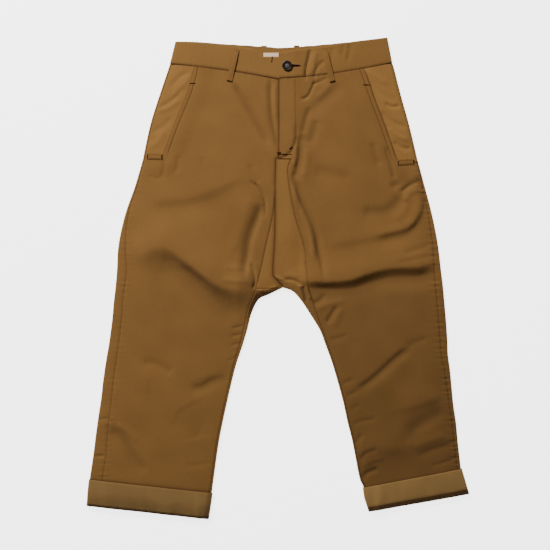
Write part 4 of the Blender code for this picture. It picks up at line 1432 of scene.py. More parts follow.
def build_back(side):
    """Back panel: flat on the floor, turned up round the side and the inner edge of the leg."""
    rows = fine_rows(side, WAIST, HEM)
    outer_x = side.side_x(rows)
    outer_y = side.side_y(rows)
    edge_x = side.edge_x(rows) + side.sign * SEAM / 2
    edge_y = side.edge_y(rows)
    low = floor_height(rows)
    length = np.hypot(edge_x - outer_x, edge_y - outer_y)
    in_x = (edge_x - outer_x) / length
    in_y = (edge_y - outer_y) / length
    near = (EDGE_HEIGHT - low) / 2
    high = top_height(side, outer_x + in_x * near, outer_y + in_y * near)
    turn_x, turn_y, turn_z = turned_edge(outer_x, outer_y, in_x, in_y, low, high)
    seam_x, seam_y = side.side_seam(rows)
    seam_x = seam_x - in_x * SEAM / 2
    over_x = straight(turn_x[:, -1], seam_x, STRIP_PARTS)
    over_y = straight(turn_y[:, -1], seam_y, STRIP_PARTS)
    to_seam = np.hypot(seam_x[:, None] - over_x, seam_y[:, None] - over_y)
    from_turn = np.hypot(over_x - turn_x[:, -1:], over_y - turn_y[:, -1:])
    relief = seam_relief(to_seam, over_y, "side", pucker=BACK_PUCKER[side.name], spread=BACK_PUCKER_REACH)
    over_z = top_height(side, over_x, over_y) + relief * smooth(from_turn / TURN_EASE)

    legs = rows >= CROTCH
    normal_x, normal_y = edge_normals(side, rows[legs])
    raised = LAP if side is LEFT else 0.0
    start_x = edge_x[legs] + normal_x * near[legs]
    start_y = edge_y[legs] + normal_y * near[legs]
    edge_high = top_height(side, start_x, start_y) + over_raise(start_x, start_y, raised)
    inner_x, inner_y, inner_z = turned_edge(
        edge_x[legs], edge_y[legs], normal_x, normal_y, low[legs], edge_high
    )
    flat_start_x = edge_x.copy()
    flat_start_y = edge_y.copy()
    flat_start_x[legs] = inner_x[:, 0]
    flat_start_y[legs] = inner_y[:, 0]
    flat_x = straight(flat_start_x, turn_x[:, 0], FLAT_PARTS)
    flat_y = straight(flat_start_y, turn_y[:, 0], FLAT_PARTS)
    pressed = np.abs(crease_height(flat_x, flat_y, BACK_CREASES))
    flat_z = low[:, None] + pressed * smooth(np.minimum(FLAT_PARTS, 1 - FLAT_PARTS) / FLAT_EASE)[None, :]
    x, y, z = joined((flat_x, flat_y, flat_z), (turn_x, turn_y, turn_z), (over_x, over_y, over_z))
    groove = np.zeros(x.shape)
    groove[:, -len(STRIP_PARTS) + 1 :] = line_of(to_seam, SIDE_LINE)[:, 1:]
    cloth = Cloth()
    cloth.add(x, y, z, groove + cuff_top_shadow(side, rows))

    below = rows[legs] - CROTCH
    inseam_x = side.seam_x(rows[legs]) - side.sign * SEAM / 2
    inseam_y = side.seam_y(rows[legs]) - CROTCH_TUCK * (1 - smooth(below / CROTCH_TUCK_ROWS))
    strip_x = straight(inner_x[:, -1], inseam_x, INNER_PARTS)
    strip_y = straight(inner_y[:, -1], inseam_y, INNER_PARTS)
    strip_gap = np.hypot(inseam_x[:, None] - strip_x, inseam_y[:, None] - strip_y)
    from_turn = np.hypot(strip_x - inner_x[:, -1:], strip_y - inner_y[:, -1:])
    strip_z = top_height(side, strip_x, strip_y) + over_raise(strip_x, strip_y, raised)
    strip_z = strip_z + seam_relief(strip_gap, strip_y, "inseam") * smooth(from_turn / TURN_EASE)
    shaded = eased(strip_gap, *SHADE_GAP)[:, 1:]
    shaded = np.concatenate([np.ones(inner_x.shape), shaded], axis=1)
    depth = eased(below, *SHADE_START) * (1 - eased(below, *SHADE_END))
    lines = np.concatenate([np.zeros(inner_x.shape), line_of(strip_gap, SEAM_LINE)[:, 1:]], axis=1)
    groove = lines + shaded * depth[:, None] * CROTCH_SHADE[side.name]
    cloth.add(*joined((inner_x, inner_y, inner_z), (strip_x, strip_y, strip_z)), groove)
    cloth.build("back_cloth_" + side.name, "twill", ["back_" + side.name])


def edge_normals(side, rows, reach=0.3):
    """Directions into the cloth from the inner edge of the leg, from this part of a row on either side."""
    before = np.maximum(rows - reach, CROTCH)
    after = np.minimum(rows + reach, HEM)
    run_x = side.edge_x(after) - side.edge_x(before)
    run_y = side.edge_y(after) - side.edge_y(before)
    length = np.hypot(run_x, run_y)
    return -run_y / length * side.sign, run_x / length * side.sign


def over_edge_x(y):
    """X of the overlapping edge at each height of the page."""
    ys = np.array([point[1] for point in OVER_PATH])[::-1]
    xs = np.array([point[0] for point in OVER_PATH])[::-1]
    return np.interp(y, ys, xs)


# The left half's edge starts this much higher at its head, over this part of a row
GUSSET_HEAD_RISE = 1.4
GUSSET_HEAD_ROWS = 0.3

# Rows below its head where the line along its seam fades out
GUSSET_LINE_END = (2.9, 0.5)

# The right half stops running under the left one, and comes to its point, over these parts of a row
GUSSET_UNDER_ROWS = 0.7
GUSSET_POINT_ROWS = 0.35
GUSSET_POINT = (0.4, 0.6)
GUSSET_PARTS = np.linspace(0, 1, 26)[None, :] ** 1.2


def build_left_gusset():
    """Left half of the crotch gusset, which lies over the right one."""
    rows = fine_rows(LEFT, GUSSET_LEFT_TOP, CROTCH)
    below = rows - GUSSET_LEFT_TOP
    end_x = LEFT.seam_x(rows) - SEAM / 2
    end_y = LEFT.seam_y(rows)
    start_y = RIGHT.seam_y(rows) + GUSSET_HEAD_RISE * (1 - smooth(below / GUSSET_HEAD_ROWS))
    start_y = np.maximum(start_y, OVER_PATH[-1][1])
    start_x = over_edge_x(start_y)
    length = np.hypot(end_x - start_x, end_y - start_y)
    part = parts_across(length, GUSSET_CELL)
    x = blend(start_x[:, None], end_x[:, None], part)
    y = blend(start_y[:, None], end_y[:, None], part)
    z = top_height(LEFT, x, y) + over_raise(x, y, LAP)
    from_start = part * length[:, None]
    from_end = (1 - part) * length[:, None]
    z += rolled_edge(from_start) + seam_relief(from_end, y, "inseam")
    faded = 1 - eased(below, *GUSSET_LINE_END)[:, None]
    # The left gusset's overlapping edge gets painted shadow
    groove = line_of(from_end, SEAM_LINE) * faded + line_of(from_start, OVER_SHADOW, LEFT_GUSSET_SHADOW_WIDTH)
    cloth = Cloth()
    cloth.add(x, y, z, groove)
    cloth.build("gusset_cloth_left", "twill", ["gusset_left"])


def build_right_gusset():
    """Right half of the crotch gusset, run on under the left one and drawn to a point at the crotch."""
    rows = fine_rows(RIGHT, GUSSET_RIGHT_TOP, CROTCH)
    start_x = RIGHT.seam_x(rows) + SEAM / 2
    start_y = RIGHT.seam_y(rows)
    under = 1 - smooth((rows - CROTCH + GUSSET_UNDER_ROWS) / GUSSET_UNDER_ROWS)
    end_x = over_edge_x(np.maximum(start_y, OVER_PATH[-1][1])) + UNDERLAP * under
    last = smooth((rows - CROTCH + GUSSET_POINT_ROWS) / GUSSET_POINT_ROWS)
    end_x = blend(end_x, OVER_PATH[-1][0] - GUSSET_POINT[0], last)
    end_y = blend(start_y, OVER_PATH[-1][1] - GUSSET_POINT[1], last)
    length = np.hypot(end_x - start_x, end_y - start_y)
    x = blend(start_x[:, None], end_x[:, None], GUSSET_PARTS)
    y = blend(start_y[:, None], end_y[:, None], GUSSET_PARTS)
    from_start = GUSSET_PARTS * length[:, None]
    z = top_height(RIGHT, x, y) + seam_relief(from_start, y, "inseam")
    over_gap = line_field(x, y, OVER_PATH)[0]
    # Painted shadow on the right gusset beside the left one's edge
    groove = line_of(from_start, SEAM_LINE) + line_of(over_gap, OVER_SHADOW, RIGHT_GUSSET_SHADOW_WIDTH)
    cloth = Cloth()
    cloth.add(x, y, z, groove)
    cloth.build("gusset_cloth_right", "twill", ["gusset_right"])


# Parts up the band from its seam, along its front from the side to the fly, and along its back
BAND_PARTS = np.concatenate([[0, 0.01, 0.025, 0.05], np.linspace(0.09, 0.91, 16), [0.95, 0.975, 0.99, 1.0]])
BAND_STEPS = np.concatenate([np.linspace(0, 0.97, 84), [0.98, 0.99, 0.996, 1.0]])
UNDER_STEPS = np.linspace(0, 1, 30)

# The band's relief eases in over this part of its front
BAND_STEPS_EASE = 0.05
BAND_WIDTH = 42.0
BAND_DIP = 0.5

# Ripples along the band's top edges: height, reach, and pace beside that of a seam's ripples
BAND_TOP_RIPPLE = 0.12
BAND_TOP_RIPPLE_REACH = 12.0
BAND_TOP_PACE = 0.5
BAND_BACK_RIPPLE = 0.5
BAND_BACK_PACE = 0.35


def build_band(side):
    """Half of the waistband, from the centre front round the side to the centre back."""
    lower, upper = side.band
    part = BAND_PARTS
    seam_rise = SEAM * (1 - part)
    fly_x = FLY_X - MIDDLE.x
    outer_x = blend(lower.side_x, upper.side_x, part)
    outer_y = blend(lower.side_y, upper.side_y, part) + seam_rise
    front_y = blend(lower.front_y, upper.front_y, part) + seam_rise
    back_y = blend(lower.back_y, upper.back_y, part) + seam_rise
    front_bow = blend(lower.front_bow, upper.front_bow, part)[:, None]
    back_bow = blend(lower.back_bow, upper.back_bow, part)[:, None]
    length = np.hypot(fly_x - outer_x, front_y - outer_y)
    in_x = (fly_x - outer_x) / length
    in_y = (front_y - outer_y) / length
    low = np.full(part.shape, BAND_FLOOR_LAYER)
    high = band_height(side, outer_x, outer_y)
    turn_x, turn_y, turn_z = turned_edge(outer_x, outer_y, in_x, in_y, low, high)

    start_x = fly_x + BAND_UNDERLAP if side is RIGHT else fly_x
    start_y = blend(outer_y, front_y, (start_x - outer_x) / (fly_x - outer_x))
    over_x = straight(turn_x[:, -1], np.full(part.shape, start_x), BAND_STEPS)
    over_y = straight(turn_y[:, -1], start_y, BAND_STEPS)
    over_y = over_y + front_bow * 4 * (BAND_STEPS * (1 - BAND_STEPS))[None, :]
    if side is RIGHT:
        drop = eased(over_x, *DIP_X) * (over_y[-1:] - (DIP_Y - MIDDLE.y))
        over_y = over_y - np.maximum(0.0, drop) * part[:, None] ** 2
    from_seam = (part * np.hypot(upper.side_x - lower.side_x, upper.side_y - lower.side_y))[:, None]
    from_top = (1 - part[:, None]) * BAND_WIDTH
    relief = seam_relief(from_seam, over_x, "waist", dip=BAND_DIP, pucker=BAND_PUCKER)
    relief = relief + rolled_edge(from_top, *BAND_TOP_EDGE)
    ripple = uneven(over_x * BAND_TOP_PACE, "band_top") * BAND_TOP_RIPPLE
    relief = relief + ripple * np.exp(-from_top / BAND_TOP_RIPPLE_REACH)
    over_z = band_height(side, over_x, over_y) + relief * smooth(BAND_STEPS / BAND_STEPS_EASE)[None, :]

    back_x = np.full(part.shape, CENTRE_BACK - MIDDLE.x)
    under_x = straight(back_x, turn_x[:, 0], UNDER_STEPS)
    under_y = straight(back_y, turn_y[:, 0], UNDER_STEPS)
    under_y = under_y + back_bow * 4 * (UNDER_STEPS * (1 - UNDER_STEPS))[None, :]
    near_top = smooth(part * 3 - 2)[:, None]
    under_y = under_y + uneven(under_x * BAND_BACK_PACE, "band_back") * BAND_BACK_RIPPLE * near_top
    under_z = np.repeat(low[:, None], len(UNDER_STEPS), axis=1)
    x, y, z = joined((under_x, under_y, under_z), (turn_x, turn_y, turn_z), (over_x, over_y, over_z))
    cloth = Cloth()
    cloth.add(x, y, z, line_of(from_seam, WAIST_LINE))
    cloth.build(
        "band_cloth_" + side.name,
        "facing_twill",
        ["waistband_" + side.name],
        thickness=size_of("band"),
        tone=BAND_TONE,
    )


# Steps across the upper and lower layers of a cuff, and how far in its edge height is taken
CUFF_TOP_STEPS = np.linspace(0, 1, 84)
CUFF_FLOOR_STEPS = np.linspace(0, 1, 14)
CUFF_NEAR = 2.0


def cuff_ring(side, row, shrink, drop):
    """A closed ring round the leg, shrunk towards it and moved along it."""
    edge = np.array([float(side.edge_x(row)), float(side.edge_y(row))])
    outer = np.array([float(side.side_x(row)), float(side.side_y(row))])
    across = (outer - edge) / np.linalg.norm(outer - edge)
    down = np.array([across[1], -across[0]]) * side.sign
    reach = LAP - shrink
    edge = edge - across * reach + down * drop
    outer = outer + across * reach + down * drop
    low = np.array([FLOOR_LAYER + shrink])
    turns = []
    for place, inward in ((edge, across), (outer, -across)):
        near = place + inward * CUFF_NEAR
        high = np.atleast_1d(top_height(side, near[0], near[1]) + reach)
        turns.append(turned_edge(place[:1], place[1:], inward[:1], inward[1:], low, high))
    (inner_x, inner_y, inner_z), (outer_x, outer_y, outer_z) = turns
    top_x = blend(inner_x[0, -1], outer_x[0, -1], CUFF_TOP_STEPS)
    top_y = blend(inner_y[0, -1], outer_y[0, -1], CUFF_TOP_STEPS)
    top_z = top_height(side, top_x, top_y) + reach
    floor_x = blend(outer_x[0, 0], inner_x[0, 0], CUFF_FLOOR_STEPS)
    floor_y = blend(outer_y[0, 0], inner_y[0, 0], CUFF_FLOOR_STEPS)
    floor_z = np.full(len(CUFF_FLOOR_STEPS), low[0])
    x = np.concatenate([inner_x[0], top_x[1:-1], outer_x[0, ::-1], floor_x[1:-1]])
    y = np.concatenate([inner_y[0], top_y[1:-1], outer_y[0, ::-1], floor_y[1:-1]])
    z = np.concatenate([inner_z[0], top_z[1:-1], outer_z[0, ::-1], floor_z[1:-1]])
    return x, y, z


def build_cuff(side):
    """Turned-up cuff: a flat tube round the end of the leg with its fold at the foot."""
    drop = CUFF_DROP[side.name]
    stretch = (CUFF_STATIONS - CUFF_STATIONS[0]) / (CUFF_STATIONS[-1] - CUFF_STATIONS[0])
    rings = []
    for along, longer in zip(CUFF_STATIONS, stretch):
        rings.append(cuff_ring(side, CUFF + along, 0.0, drop * longer))
    bend = LAP / 2
    for step in range(1, CUFF_BEND_STEPS + 1):
        angle = math.pi * step / CUFF_BEND_STEPS
        rings.append(cuff_ring(side, HEM, bend * (1 - math.cos(angle)), drop + math.sin(angle) * bend))
    x, y, z = (np.stack([ring[axis] for ring in rings]) for axis in range(3))
    count = len(CUFF_STATIONS)
    flat_x = x[:count]
    stretch = stretch[:, None]
    from_top = (CUFF_STATIONS - CUFF_STATIONS[0])[:, None] * CUFF_ROW_LENGTH
    wave = CUFF_RIPPLE * uneven(flat_x * CUFF_PACE, "cuff") + CUFF_WAVE * np.sin(flat_x / CUFF_WAVE_REACH)
    wander = CUFF_WANDER * uneven(flat_x * CUFF_WANDER_PACE, "cuff_fold") * stretch
    profile = np.interp(CUFF_STATIONS[:, None] - wander, CUFF_PROFILE_STEPS, CUFF_PROFILE[side.name])
    ridge = CUFF_RIDGE * np.exp(-(((flat_x - CUFF_RIDGE_X[side.name]) / CUFF_RIDGE_WIDTH) ** 2))
    raised = np.zeros(z.shape)
    raised[:count] = wave + rolled_edge(from_top, *CUFF_TOP_EDGE)
    raised[:count] += CUFF_BULGE * profile + ridge * (CUFF_RIDGE_START + stretch)
    raised[count:] = raised[count - 1]
    to_fold = np.zeros((len(rings), 1))
    to_fold[:count, 0] = (HEM - CUFF - CUFF_STATIONS) * CUFF_ROW_LENGTH
    # Painted shadow along the fold, and painted shade at the right cuff's inner end
    foot = CUFF_FOOT_SHADOW * smooth((CUFF_FOOT_SHADOW_WIDTH[side.name] - to_fold) / 2 + 0.5)
    if side is RIGHT:
        foot = foot + CUFF_END_SHADE * eased(x - x.max(axis=1, keepdims=True), *CUFF_END)
    z = z + raised * eased(z, *CUFF_UPPER)
    cloth = Cloth()
    cloth.add(x, y, z, foot, closed=True)
    cloth.build("cuff_cloth_" + side.name, "cuff_twill", ["cuff_" + side.name])


def strip_ends(strip):
    """Both ends of a strip, and the directions along and across it."""
    start = np.array([strip.x0 - MIDDLE.x, strip.y0 - MIDDLE.y])
    end = np.array([strip.x1 - MIDDLE.x, strip.y1 - MIDDLE.y])
    run = (end - start) / np.linalg.norm(end - start)
    return start, end, run, np.array([-run[1], run[0]])


def strip_grid(strip, rows, columns):
    """Points of a straight strip: x, y, part along and part across."""
    start, end, _, across = strip_ends(strip)
    along = np.linspace(0, 1, rows)[:, None]
    aside = np.linspace(-0.5, 0.5, columns)[None, :]
    x = start[0] + (end[0] - start[0]) * along + across[0] * aside * strip.width
    y = start[1] + (end[1] - start[1]) * along + across[1] * aside * strip.width
    return x, y, along * np.ones(x.shape), aside * np.ones(x.shape)


def build_front_loop(side):
    """Front belt loop: over the waistband, then down onto the front."""
    x, y, along, aside = strip_grid(FRONT_LOOPS[side.name], *FRONT_LOOP_GRID)
    band = band_height(side, x, y) + size_of("band") / 2
    panel = front_height(side, x, y) + size_of("cloth") / 2
    above_seam = y - side.front_point(WAIST, x)[1]
    under = blend(panel, np.maximum(band, panel), eased(above_seam, *LOOP_STEP))
    under = np.repeat(under.max(axis=1, keepdims=True), x.shape[1], axis=1)
    bulge = LOOP_BULGE * np.sin(math.pi * np.minimum(1.0, along * LOOP_BULGE_LENGTH))
    z = under + LOOP_GAP + size_of("cloth") / 2 + bulge
    z = z - LOOP_EDGE_DROP * (np.abs(aside) * 2) ** 4
    z = z + LOOP_RIB * np.cos(aside * 4 * math.pi)
    # Painted shade at both ends of the loop
    head_shade = line_of((1 - along) * LOOP_LENGTH, LOOP_HEAD_SHADE)
    foot_shade = line_of(along * LOOP_LENGTH, LOOP_FOOT_SHADE)
    cloth = Cloth()
    cloth.add(x, y, z, head_shade + foot_shade)
    nodes = ["belt_loop_front_" + side.name]
    cloth.build("front_loop_" + side.name, "twill", nodes, tone=FRONT_LOOP_TONE)


def build_back_loop(side):
    """Back belt loop, under the waistband, its top just over the waist edge."""
    x, y, _, _ = strip_grid(BACK_LOOPS[side.name], *BACK_LOOP_GRID)
    cloth = Cloth()
    cloth.add(x, y, np.full(x.shape, FLOOR_LAYER))
    nodes = ["belt_loop_back_" + side.name]
    cloth.build("back_loop_" + side.name, "twill", nodes, tone=BACK_LOOP_TONE)


def build_welt(side):
    """Small welt at the foot of the slanted pocket."""
    x, y, _, aside = strip_grid(WELTS[side.name], *WELT_GRID)
    z = front_height(side, x, y) + size_of("cloth") / 2 + WELT_GAP + WELT / 2
    z = z - WELT_EDGE_DROP * (np.abs(aside) * 2) ** 4
    cloth = Cloth()
    cloth.add(x, y, z, WELT_EDGE_LINE * (np.abs(aside) * 2) ** 8)
    nodes = ["pocket_welt_" + side.name]
    cloth.build("welt_cloth_" + side.name, "twill", nodes, thickness=WELT)


STITCH_LENGTH = 2.3
STITCH_SPACING = 3.0
STITCH_RADIUS = 0.22

# The outline of one stitch: parts of its length, and its width and drop there in thread radii
STITCH_STATIONS = (-0.5, -0.36, 0.36, 0.5)
STITCH_WIDTHS = (0.35, 1.0, 1.0, 0.35)
STITCH_DROPS = (-0.8, 0.0, 0.0, -0.8)
STITCH_SIDES = 6
STITCH_CAP = (0, 1, 2, 3), (0, 3, 4, 5)

# A stitch stands this part of its radius over the cloth
STITCH_RISE = 0.35

# Stitches of a bar tack: from one to the next, their rise over the cloth and their radius
BAR_SPACING = 0.42
BAR_RISE = 0.25
BAR_RADIUS = 0.24

# The crotch seam's own coarser stitches, by the photograph's pixels
CROTCH_STITCH = [page(256.8, 288), page(265, 288.2), page(274, 287.8)]
CROTCH_STITCH_SIZES = {"spacing": 1.6, "length": 1.9, "radius": 0.32}
LABEL_TACK = (272.2, 56.5), (271.6, 63), 1.2

# The bar at the foot of a belt loop: from the loop's end, half its length, its width and its rise
LOOP_BAR_PLACE = 1.2
LOOP_BAR_HALF = 4.6
LOOP_BAR_WIDTH = 0.9
LOOP_BAR_RISE = 0.45

# The welt's stitches and end bars, from its middle line and from its ends
WELT_STITCH_PLACE = 3.2
WELT_BAR_PLACE = 1.5
WELT_BAR_HALF = 2.6
WELT_BAR_WIDTH = 1.8

# Rows of the waist and of the pocket's foot that its stitches stop short of
POCKET_STITCH_ROWS = np.linspace(WAIST + 0.05, POCKET_END - 0.02, 40)

# Bar tacks by the photograph's pixels: the side they lie on, both ends and the width in millimetres
TACKS = (
    ("pocket_right", RIGHT, (189.8, 84), (195.6, 84), 1.9),
    ("pocket_left", LEFT, (362.8, 85.4), (368.8, 85.6), 1.9),
    ("fly_foot_upper", LEFT, (277.2, 154.4), (291.5, 154.8), 1.5),
    ("fly_foot_corner", LEFT, (277, 153.2), (281, 153.2), 2.2),
    ("fly_foot_end", LEFT, (289.4, 149.4), (292.2, 147.2), 2.0),
    ("fly_foot_lower", LEFT, (277.6, 159.2), (290, 159.2), 1.3),
)


def resample(points, spacing):
    """Places at an even spacing along a chain of stretches, with their directions."""
    points = np.array(points, dtype=float)
    lengths = np.hypot(*np.diff(points, axis=0).T)
    total = np.concatenate([[0], np.cumsum(lengths)])
    count = max(2, int(total[-1] / spacing))
    places = (np.arange(count) + 0.5) * total[-1] / count
    step = total[-1] / count * 0.3
    columns = []
    for axis in (0, 1):
        column = points[:, axis]
        ahead = np.interp(places + step, total, column) - np.interp(places - step, total, column)
        columns.append((np.interp(places, total, column), ahead))
    (x, ahead_x), (y, ahead_y) = columns
    size = np.hypot(ahead_x, ahead_y)
    return x, y, ahead_x / size, ahead_y / size


def stitches_mesh(name, x, y, z, run_x, run_y, length, radius, finish):
    """Small rounded stitches, joined in one mesh."""
    angle = np.arange(STITCH_SIDES) * 2 * math.pi / STITCH_SIDES
    places = np.zeros((len(x), len(STITCH_STATIONS), STITCH_SIDES, 3))
    for index, (station, width, drop) in enumerate(zip(STITCH_STATIONS, STITCH_WIDTHS, STITCH_DROPS)):
        aside = np.cos(angle) * radius * width
        rise = np.sin(angle) * radius * width + drop * radius
        ahead = station * length
        places[:, index, :, 0] = (x + run_x * ahead)[:, None] - run_y[:, None] * aside[None, :]
        places[:, index, :, 1] = (y + run_y * ahead)[:, None] + run_x[:, None] * aside[None, :]
        places[:, index, :, 2] = z[:, None] + rise[None, :]
    index = np.arange(places.size // 3).reshape(places.shape[:3])
    around = np.roll(index, -1, axis=2)
    quads = np.stack([index[:, :-1], index[:, 1:], around[:, 1:], around[:, :-1]], axis=-1)
    faces = [quads.reshape(-1, 4)]
    for end in (0, -1):
        for cap in STITCH_CAP:
            faces.append(index[:, end, cap])
    piece = new_mesh_object(name, places.reshape(-1, 3), np.concatenate(faces))
    piece.data.materials.append(material(finish))
    piece.data.shade_smooth()
    turn_faces(piece, False)
    piece.select_set(False)
    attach(piece, "root")


def sew(name, path, height, finish="thread", spacing=None, length=None, radius=None):
    """A line of stitches over a surface along a path in millimetres."""
    spacing = spacing or size_of("stitch_spacing")
    length = length or size_of("stitch_length")
    radius = radius or size_of("thread_radius")
    x, y, run_x, run_y = resample(path, spacing)
    z = height(x, y) + size_of("cloth") / 2 + radius * STITCH_RISE
    stitches_mesh(name, x, y, z, run_x, run_y, length, radius, finish)


def bar(name, start, end, height, width, finish="dark_thread"):
    """A bar tack: close stitches across a short line."""
    x, y, run_x, run_y = resample([start, end], BAR_SPACING)
    z = height(x, y) + size_of("cloth") / 2 + BAR_RISE
    stitches_mesh(name, x, y, z, -run_y, run_x, width, BAR_RADIUS, finish)


def offset_path(points, gap):
    """A path moved sideways, to the left looking along it."""
    points = np.array(points, dtype=float)
    run = np.gradient(points, axis=0)
    run /= np.linalg.norm(run, axis=1)[:, None]
    return points + np.stack([-run[:, 1], run[:, 0]], axis=1) * gap


def build_stitching():
    """Top stitching of the fly, pockets and welts, the crotch seam's stitches and the bar tacks."""
    sew("stitches_fly", FLY_STITCH, lambda x, y: front_height(LEFT, x, y))
    sew(
        "stitches_crotch",
        CROTCH_STITCH,
        lambda x, y: top_height(RIGHT, x, y),
        "dark_thread",
        **CROTCH_STITCH_SIZES,
    )
    for name, side, start, end, width in TACKS:
        bar("bar_" + name, page(*start), page(*end), lambda x, y: front_height(side, x, y), width)
    over_band = size_of("band") - size_of("cloth")
    start, end, width = LABEL_TACK
    bar("bar_label", page(*start), page(*end), lambda x, y: band_height(RIGHT, x, y) + over_band, width)
    for side in (RIGHT, LEFT):
        slant_x, slant_y = side.front_point(POCKET_STITCH_ROWS, side.pocket(POCKET_STITCH_ROWS))
        slant = np.stack([slant_x, slant_y], axis=1)
        for gap in (EDGE_STITCH_GAP, STITCH_GAP):
            path = offset_path(slant, -side.sign * gap)
            sew(f"stitches_pocket_{side.name}_{gap:.0f}", path, lambda x, y: front_height(side, x, y))
        build_loop_bar(side)
        build_welt_stitches(side)


def build_loop_bar(side):
    """Bar at the foot of a front belt loop."""
    _, end, run, across = strip_ends(FRONT_LOOPS[side.name])
    foot = end - run * LOOP_BAR_PLACE
    half = across * LOOP_BAR_HALF

    def loop_top(x, y):
        return front_height(side, x, y) + size_of("cloth") + LOOP_BAR_RISE

    bar("bar_loop_foot_" + side.name, foot - half, foot + half, loop_top, LOOP_BAR_WIDTH)


def build_welt_stitches(side):
    """Edge stitches of the welt and the bars at its two ends."""
    start, end, run, across = strip_ends(WELTS[side.name])

    def welt_top(x, y):
        return front_height(side, x, y) + WELT + WELT_GAP

    for name, aside in (("low", -WELT_STITCH_PLACE), ("high", WELT_STITCH_PLACE)):
        sew(f"stitches_welt_{side.name}_{name}", [start + across * aside, end + across * aside], welt_top)
    half = across * WELT_BAR_HALF
    for name, middle in (("inner", start + run * WELT_BAR_PLACE), ("outer", end - run * WELT_BAR_PLACE)):
        bar(f"bar_welt_{name}_{side.name}", middle - half, middle + half, welt_top, WELT_BAR_WIDTH)


def build_label():
    """Plain tape label on the inside of the back waistband."""
    left, right, low, high = LABEL_BOX
    rows, columns = LABEL_GRID
    across = np.linspace(left - MIDDLE.x, right - MIDDLE.x, columns)
    x, y = np.meshgrid(across, np.linspace(low - MIDDLE.y, high - MIDDLE.y, rows))
    rise = BAND_FLOOR_LAYER + size_of("band") / 2 + LABEL_GAP + LABEL / 2
    cloth = Cloth()
    cloth.add(x, y, rise + np.sin(x / LABEL_WAVE_REACH) * LABEL_WAVE)
    cloth.build("label_tape", "label", ["label"], thickness=LABEL)


def button_middle():
    """Middle of the top of the button, in metres."""
    low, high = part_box("button")
    return (low[0] + high[0]) / 2, (low[1] + high[1]) / 2, high[2]


def build_button():
    """Four-hole button: its solid, with thread through the holes, and the buttonhole beside it."""
    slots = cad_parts["button"].data.materials
    slots.clear()
    slots.append(material("button"))
    middle_x, middle_y, top = (place / MM for place in button_middle())
    x = np.tile(middle_x + BUTTON_STRANDS, 2)
    y = np.full(x.shape, middle_y)
    z = np.full(x.shape, top - BUTTON_THREAD_DEPTH)
    turn = np.repeat((-math.pi / 4, math.pi / 4), len(BUTTON_STRANDS))
    sizes = (BUTTON_THREAD_LENGTH, BUTTON_THREAD_RADIUS)
    stitches_mesh("button_thread", x, y, z, np.cos(turn), np.sin(turn), *sizes, "pale_thread")

    def band_top(x_place, y_place):
        return band_height(LEFT, x_place, y_place) + (size_of("band") - size_of("cloth")) / 2

    start, end = (page(*place) for place in BUTTONHOLE)
    bar("buttonhole_slit", start, end, band_top, BUTTONHOLE_SLIT_WIDTH, "hole_thread")
    for name, gap in (("upper", BUTTONHOLE_EDGE_GAP), ("lower", -BUTTONHOLE_EDGE_GAP)):
        edge_start = (start[0], start[1] + gap)
        edge_end = (end[0] - BUTTONHOLE_EDGE_SHORTER, end[1] + gap * BUTTONHOLE_EDGE_TAPER)
        bar("buttonhole_" + name, edge_start, edge_end, band_top, BUTTONHOLE_EDGE_WIDTH, "hole_thread")


def build_stage():
    """Pale floor, soft light and the camera straight above."""
    stage = bpy.context.scene.trousers_stage
    collection = bpy.context.scene.collection
    bpy.ops.object.select_all(action="DESELECT")
    bpy.ops.mesh.primitive_plane_add(size=FLOOR_SIZE, location=(0, 0, 0))
    floor = bpy.context.object
    floor.name = "floor"
    pale = Finish("pale_floor", FLOOR_ROUGHNESS, Specular_IOR_Level=0.1)
    pale.shader.inputs["Base Color"].default_value = FLOOR_COLOUR
    pale.shader.inputs["Emission Color"].default_value = WHITE
    pale.shader.inputs["Emission Strength"].default_value = FLOOR_GLOW
    floor.data.materials.append(pale.material)
    key = bpy.data.lights.new("key", "AREA")
    key.energy = stage.key_power
    key.size = stage.key_size
    key_object = bpy.data.objects.new("key", key)
    key_object.location = KEY_PLACE
    key_object.rotation_euler = (-Vector(KEY_PLACE)).to_track_quat("-Z", "Y").to_euler()
    collection.objects.link(key_object)
    world = bpy.data.worlds.new("studio")
    world.use_nodes = True
    background = world.node_tree.nodes["Background"]
    background.inputs["Color"].default_value = WHITE
    background.inputs["Strength"].default_value = stage.world_strength
    bpy.context.scene.world = world
    camera = bpy.data.cameras.new("camera")
    camera.sensor_width = SENSOR_WIDTH
    camera.lens = SENSOR_WIDTH * stage.camera_height / (PAGE_WIDTH * PIXEL * MM)
    camera_object = bpy.data.objects.new("camera", camera)
    middle_x, middle_y = page(PAGE_WIDTH / 2, PAGE_WIDTH / 2)
    camera_object.location = (middle_x * MM, middle_y * MM, stage.camera_height)
    collection.objects.link(camera_object)
    bpy.context.scene.camera = camera_object


class TrousersCloth(bpy.types.PropertyGroup):
    """Colours of the cloth."""

    twill_light: bpy.props.FloatVectorProperty(
        name="Twill light", description="Lighter tone of the twill",
        subtype="COLOR", default=linear(141.5, 101, 51)[:3],
    )
    twill_dark: bpy.props.FloatVectorProperty(
        name="Twill dark", description="Darker tone of the twill",
        subtype="COLOR", default=linear(125.5, 89, 42)[:3],
    )
    facing_light: bpy.props.FloatVectorProperty(
        name="Facing light", description="Lighter tone of the facings and the waistband",
        subtype="COLOR", default=linear(152, 109.5, 55)[:3],
    )
    facing_dark: bpy.props.FloatVectorProperty(
        name="Facing dark", description="Darker tone of the facings and the waistband",
        subtype="COLOR", default=linear(137, 97.5, 47)[:3],
    )
    cuff_light: bpy.props.FloatVectorProperty(
        name="Cuff light", description="Lighter tone of the cuffs",
        subtype="COLOR", default=linear(143, 110, 63)[:3],
    )
    cuff_dark: bpy.props.FloatVectorProperty(
        name="Cuff dark", description="Darker tone of the cuffs",
        subtype="COLOR", default=linear(127, 96.5, 52.5)[:3],
    )


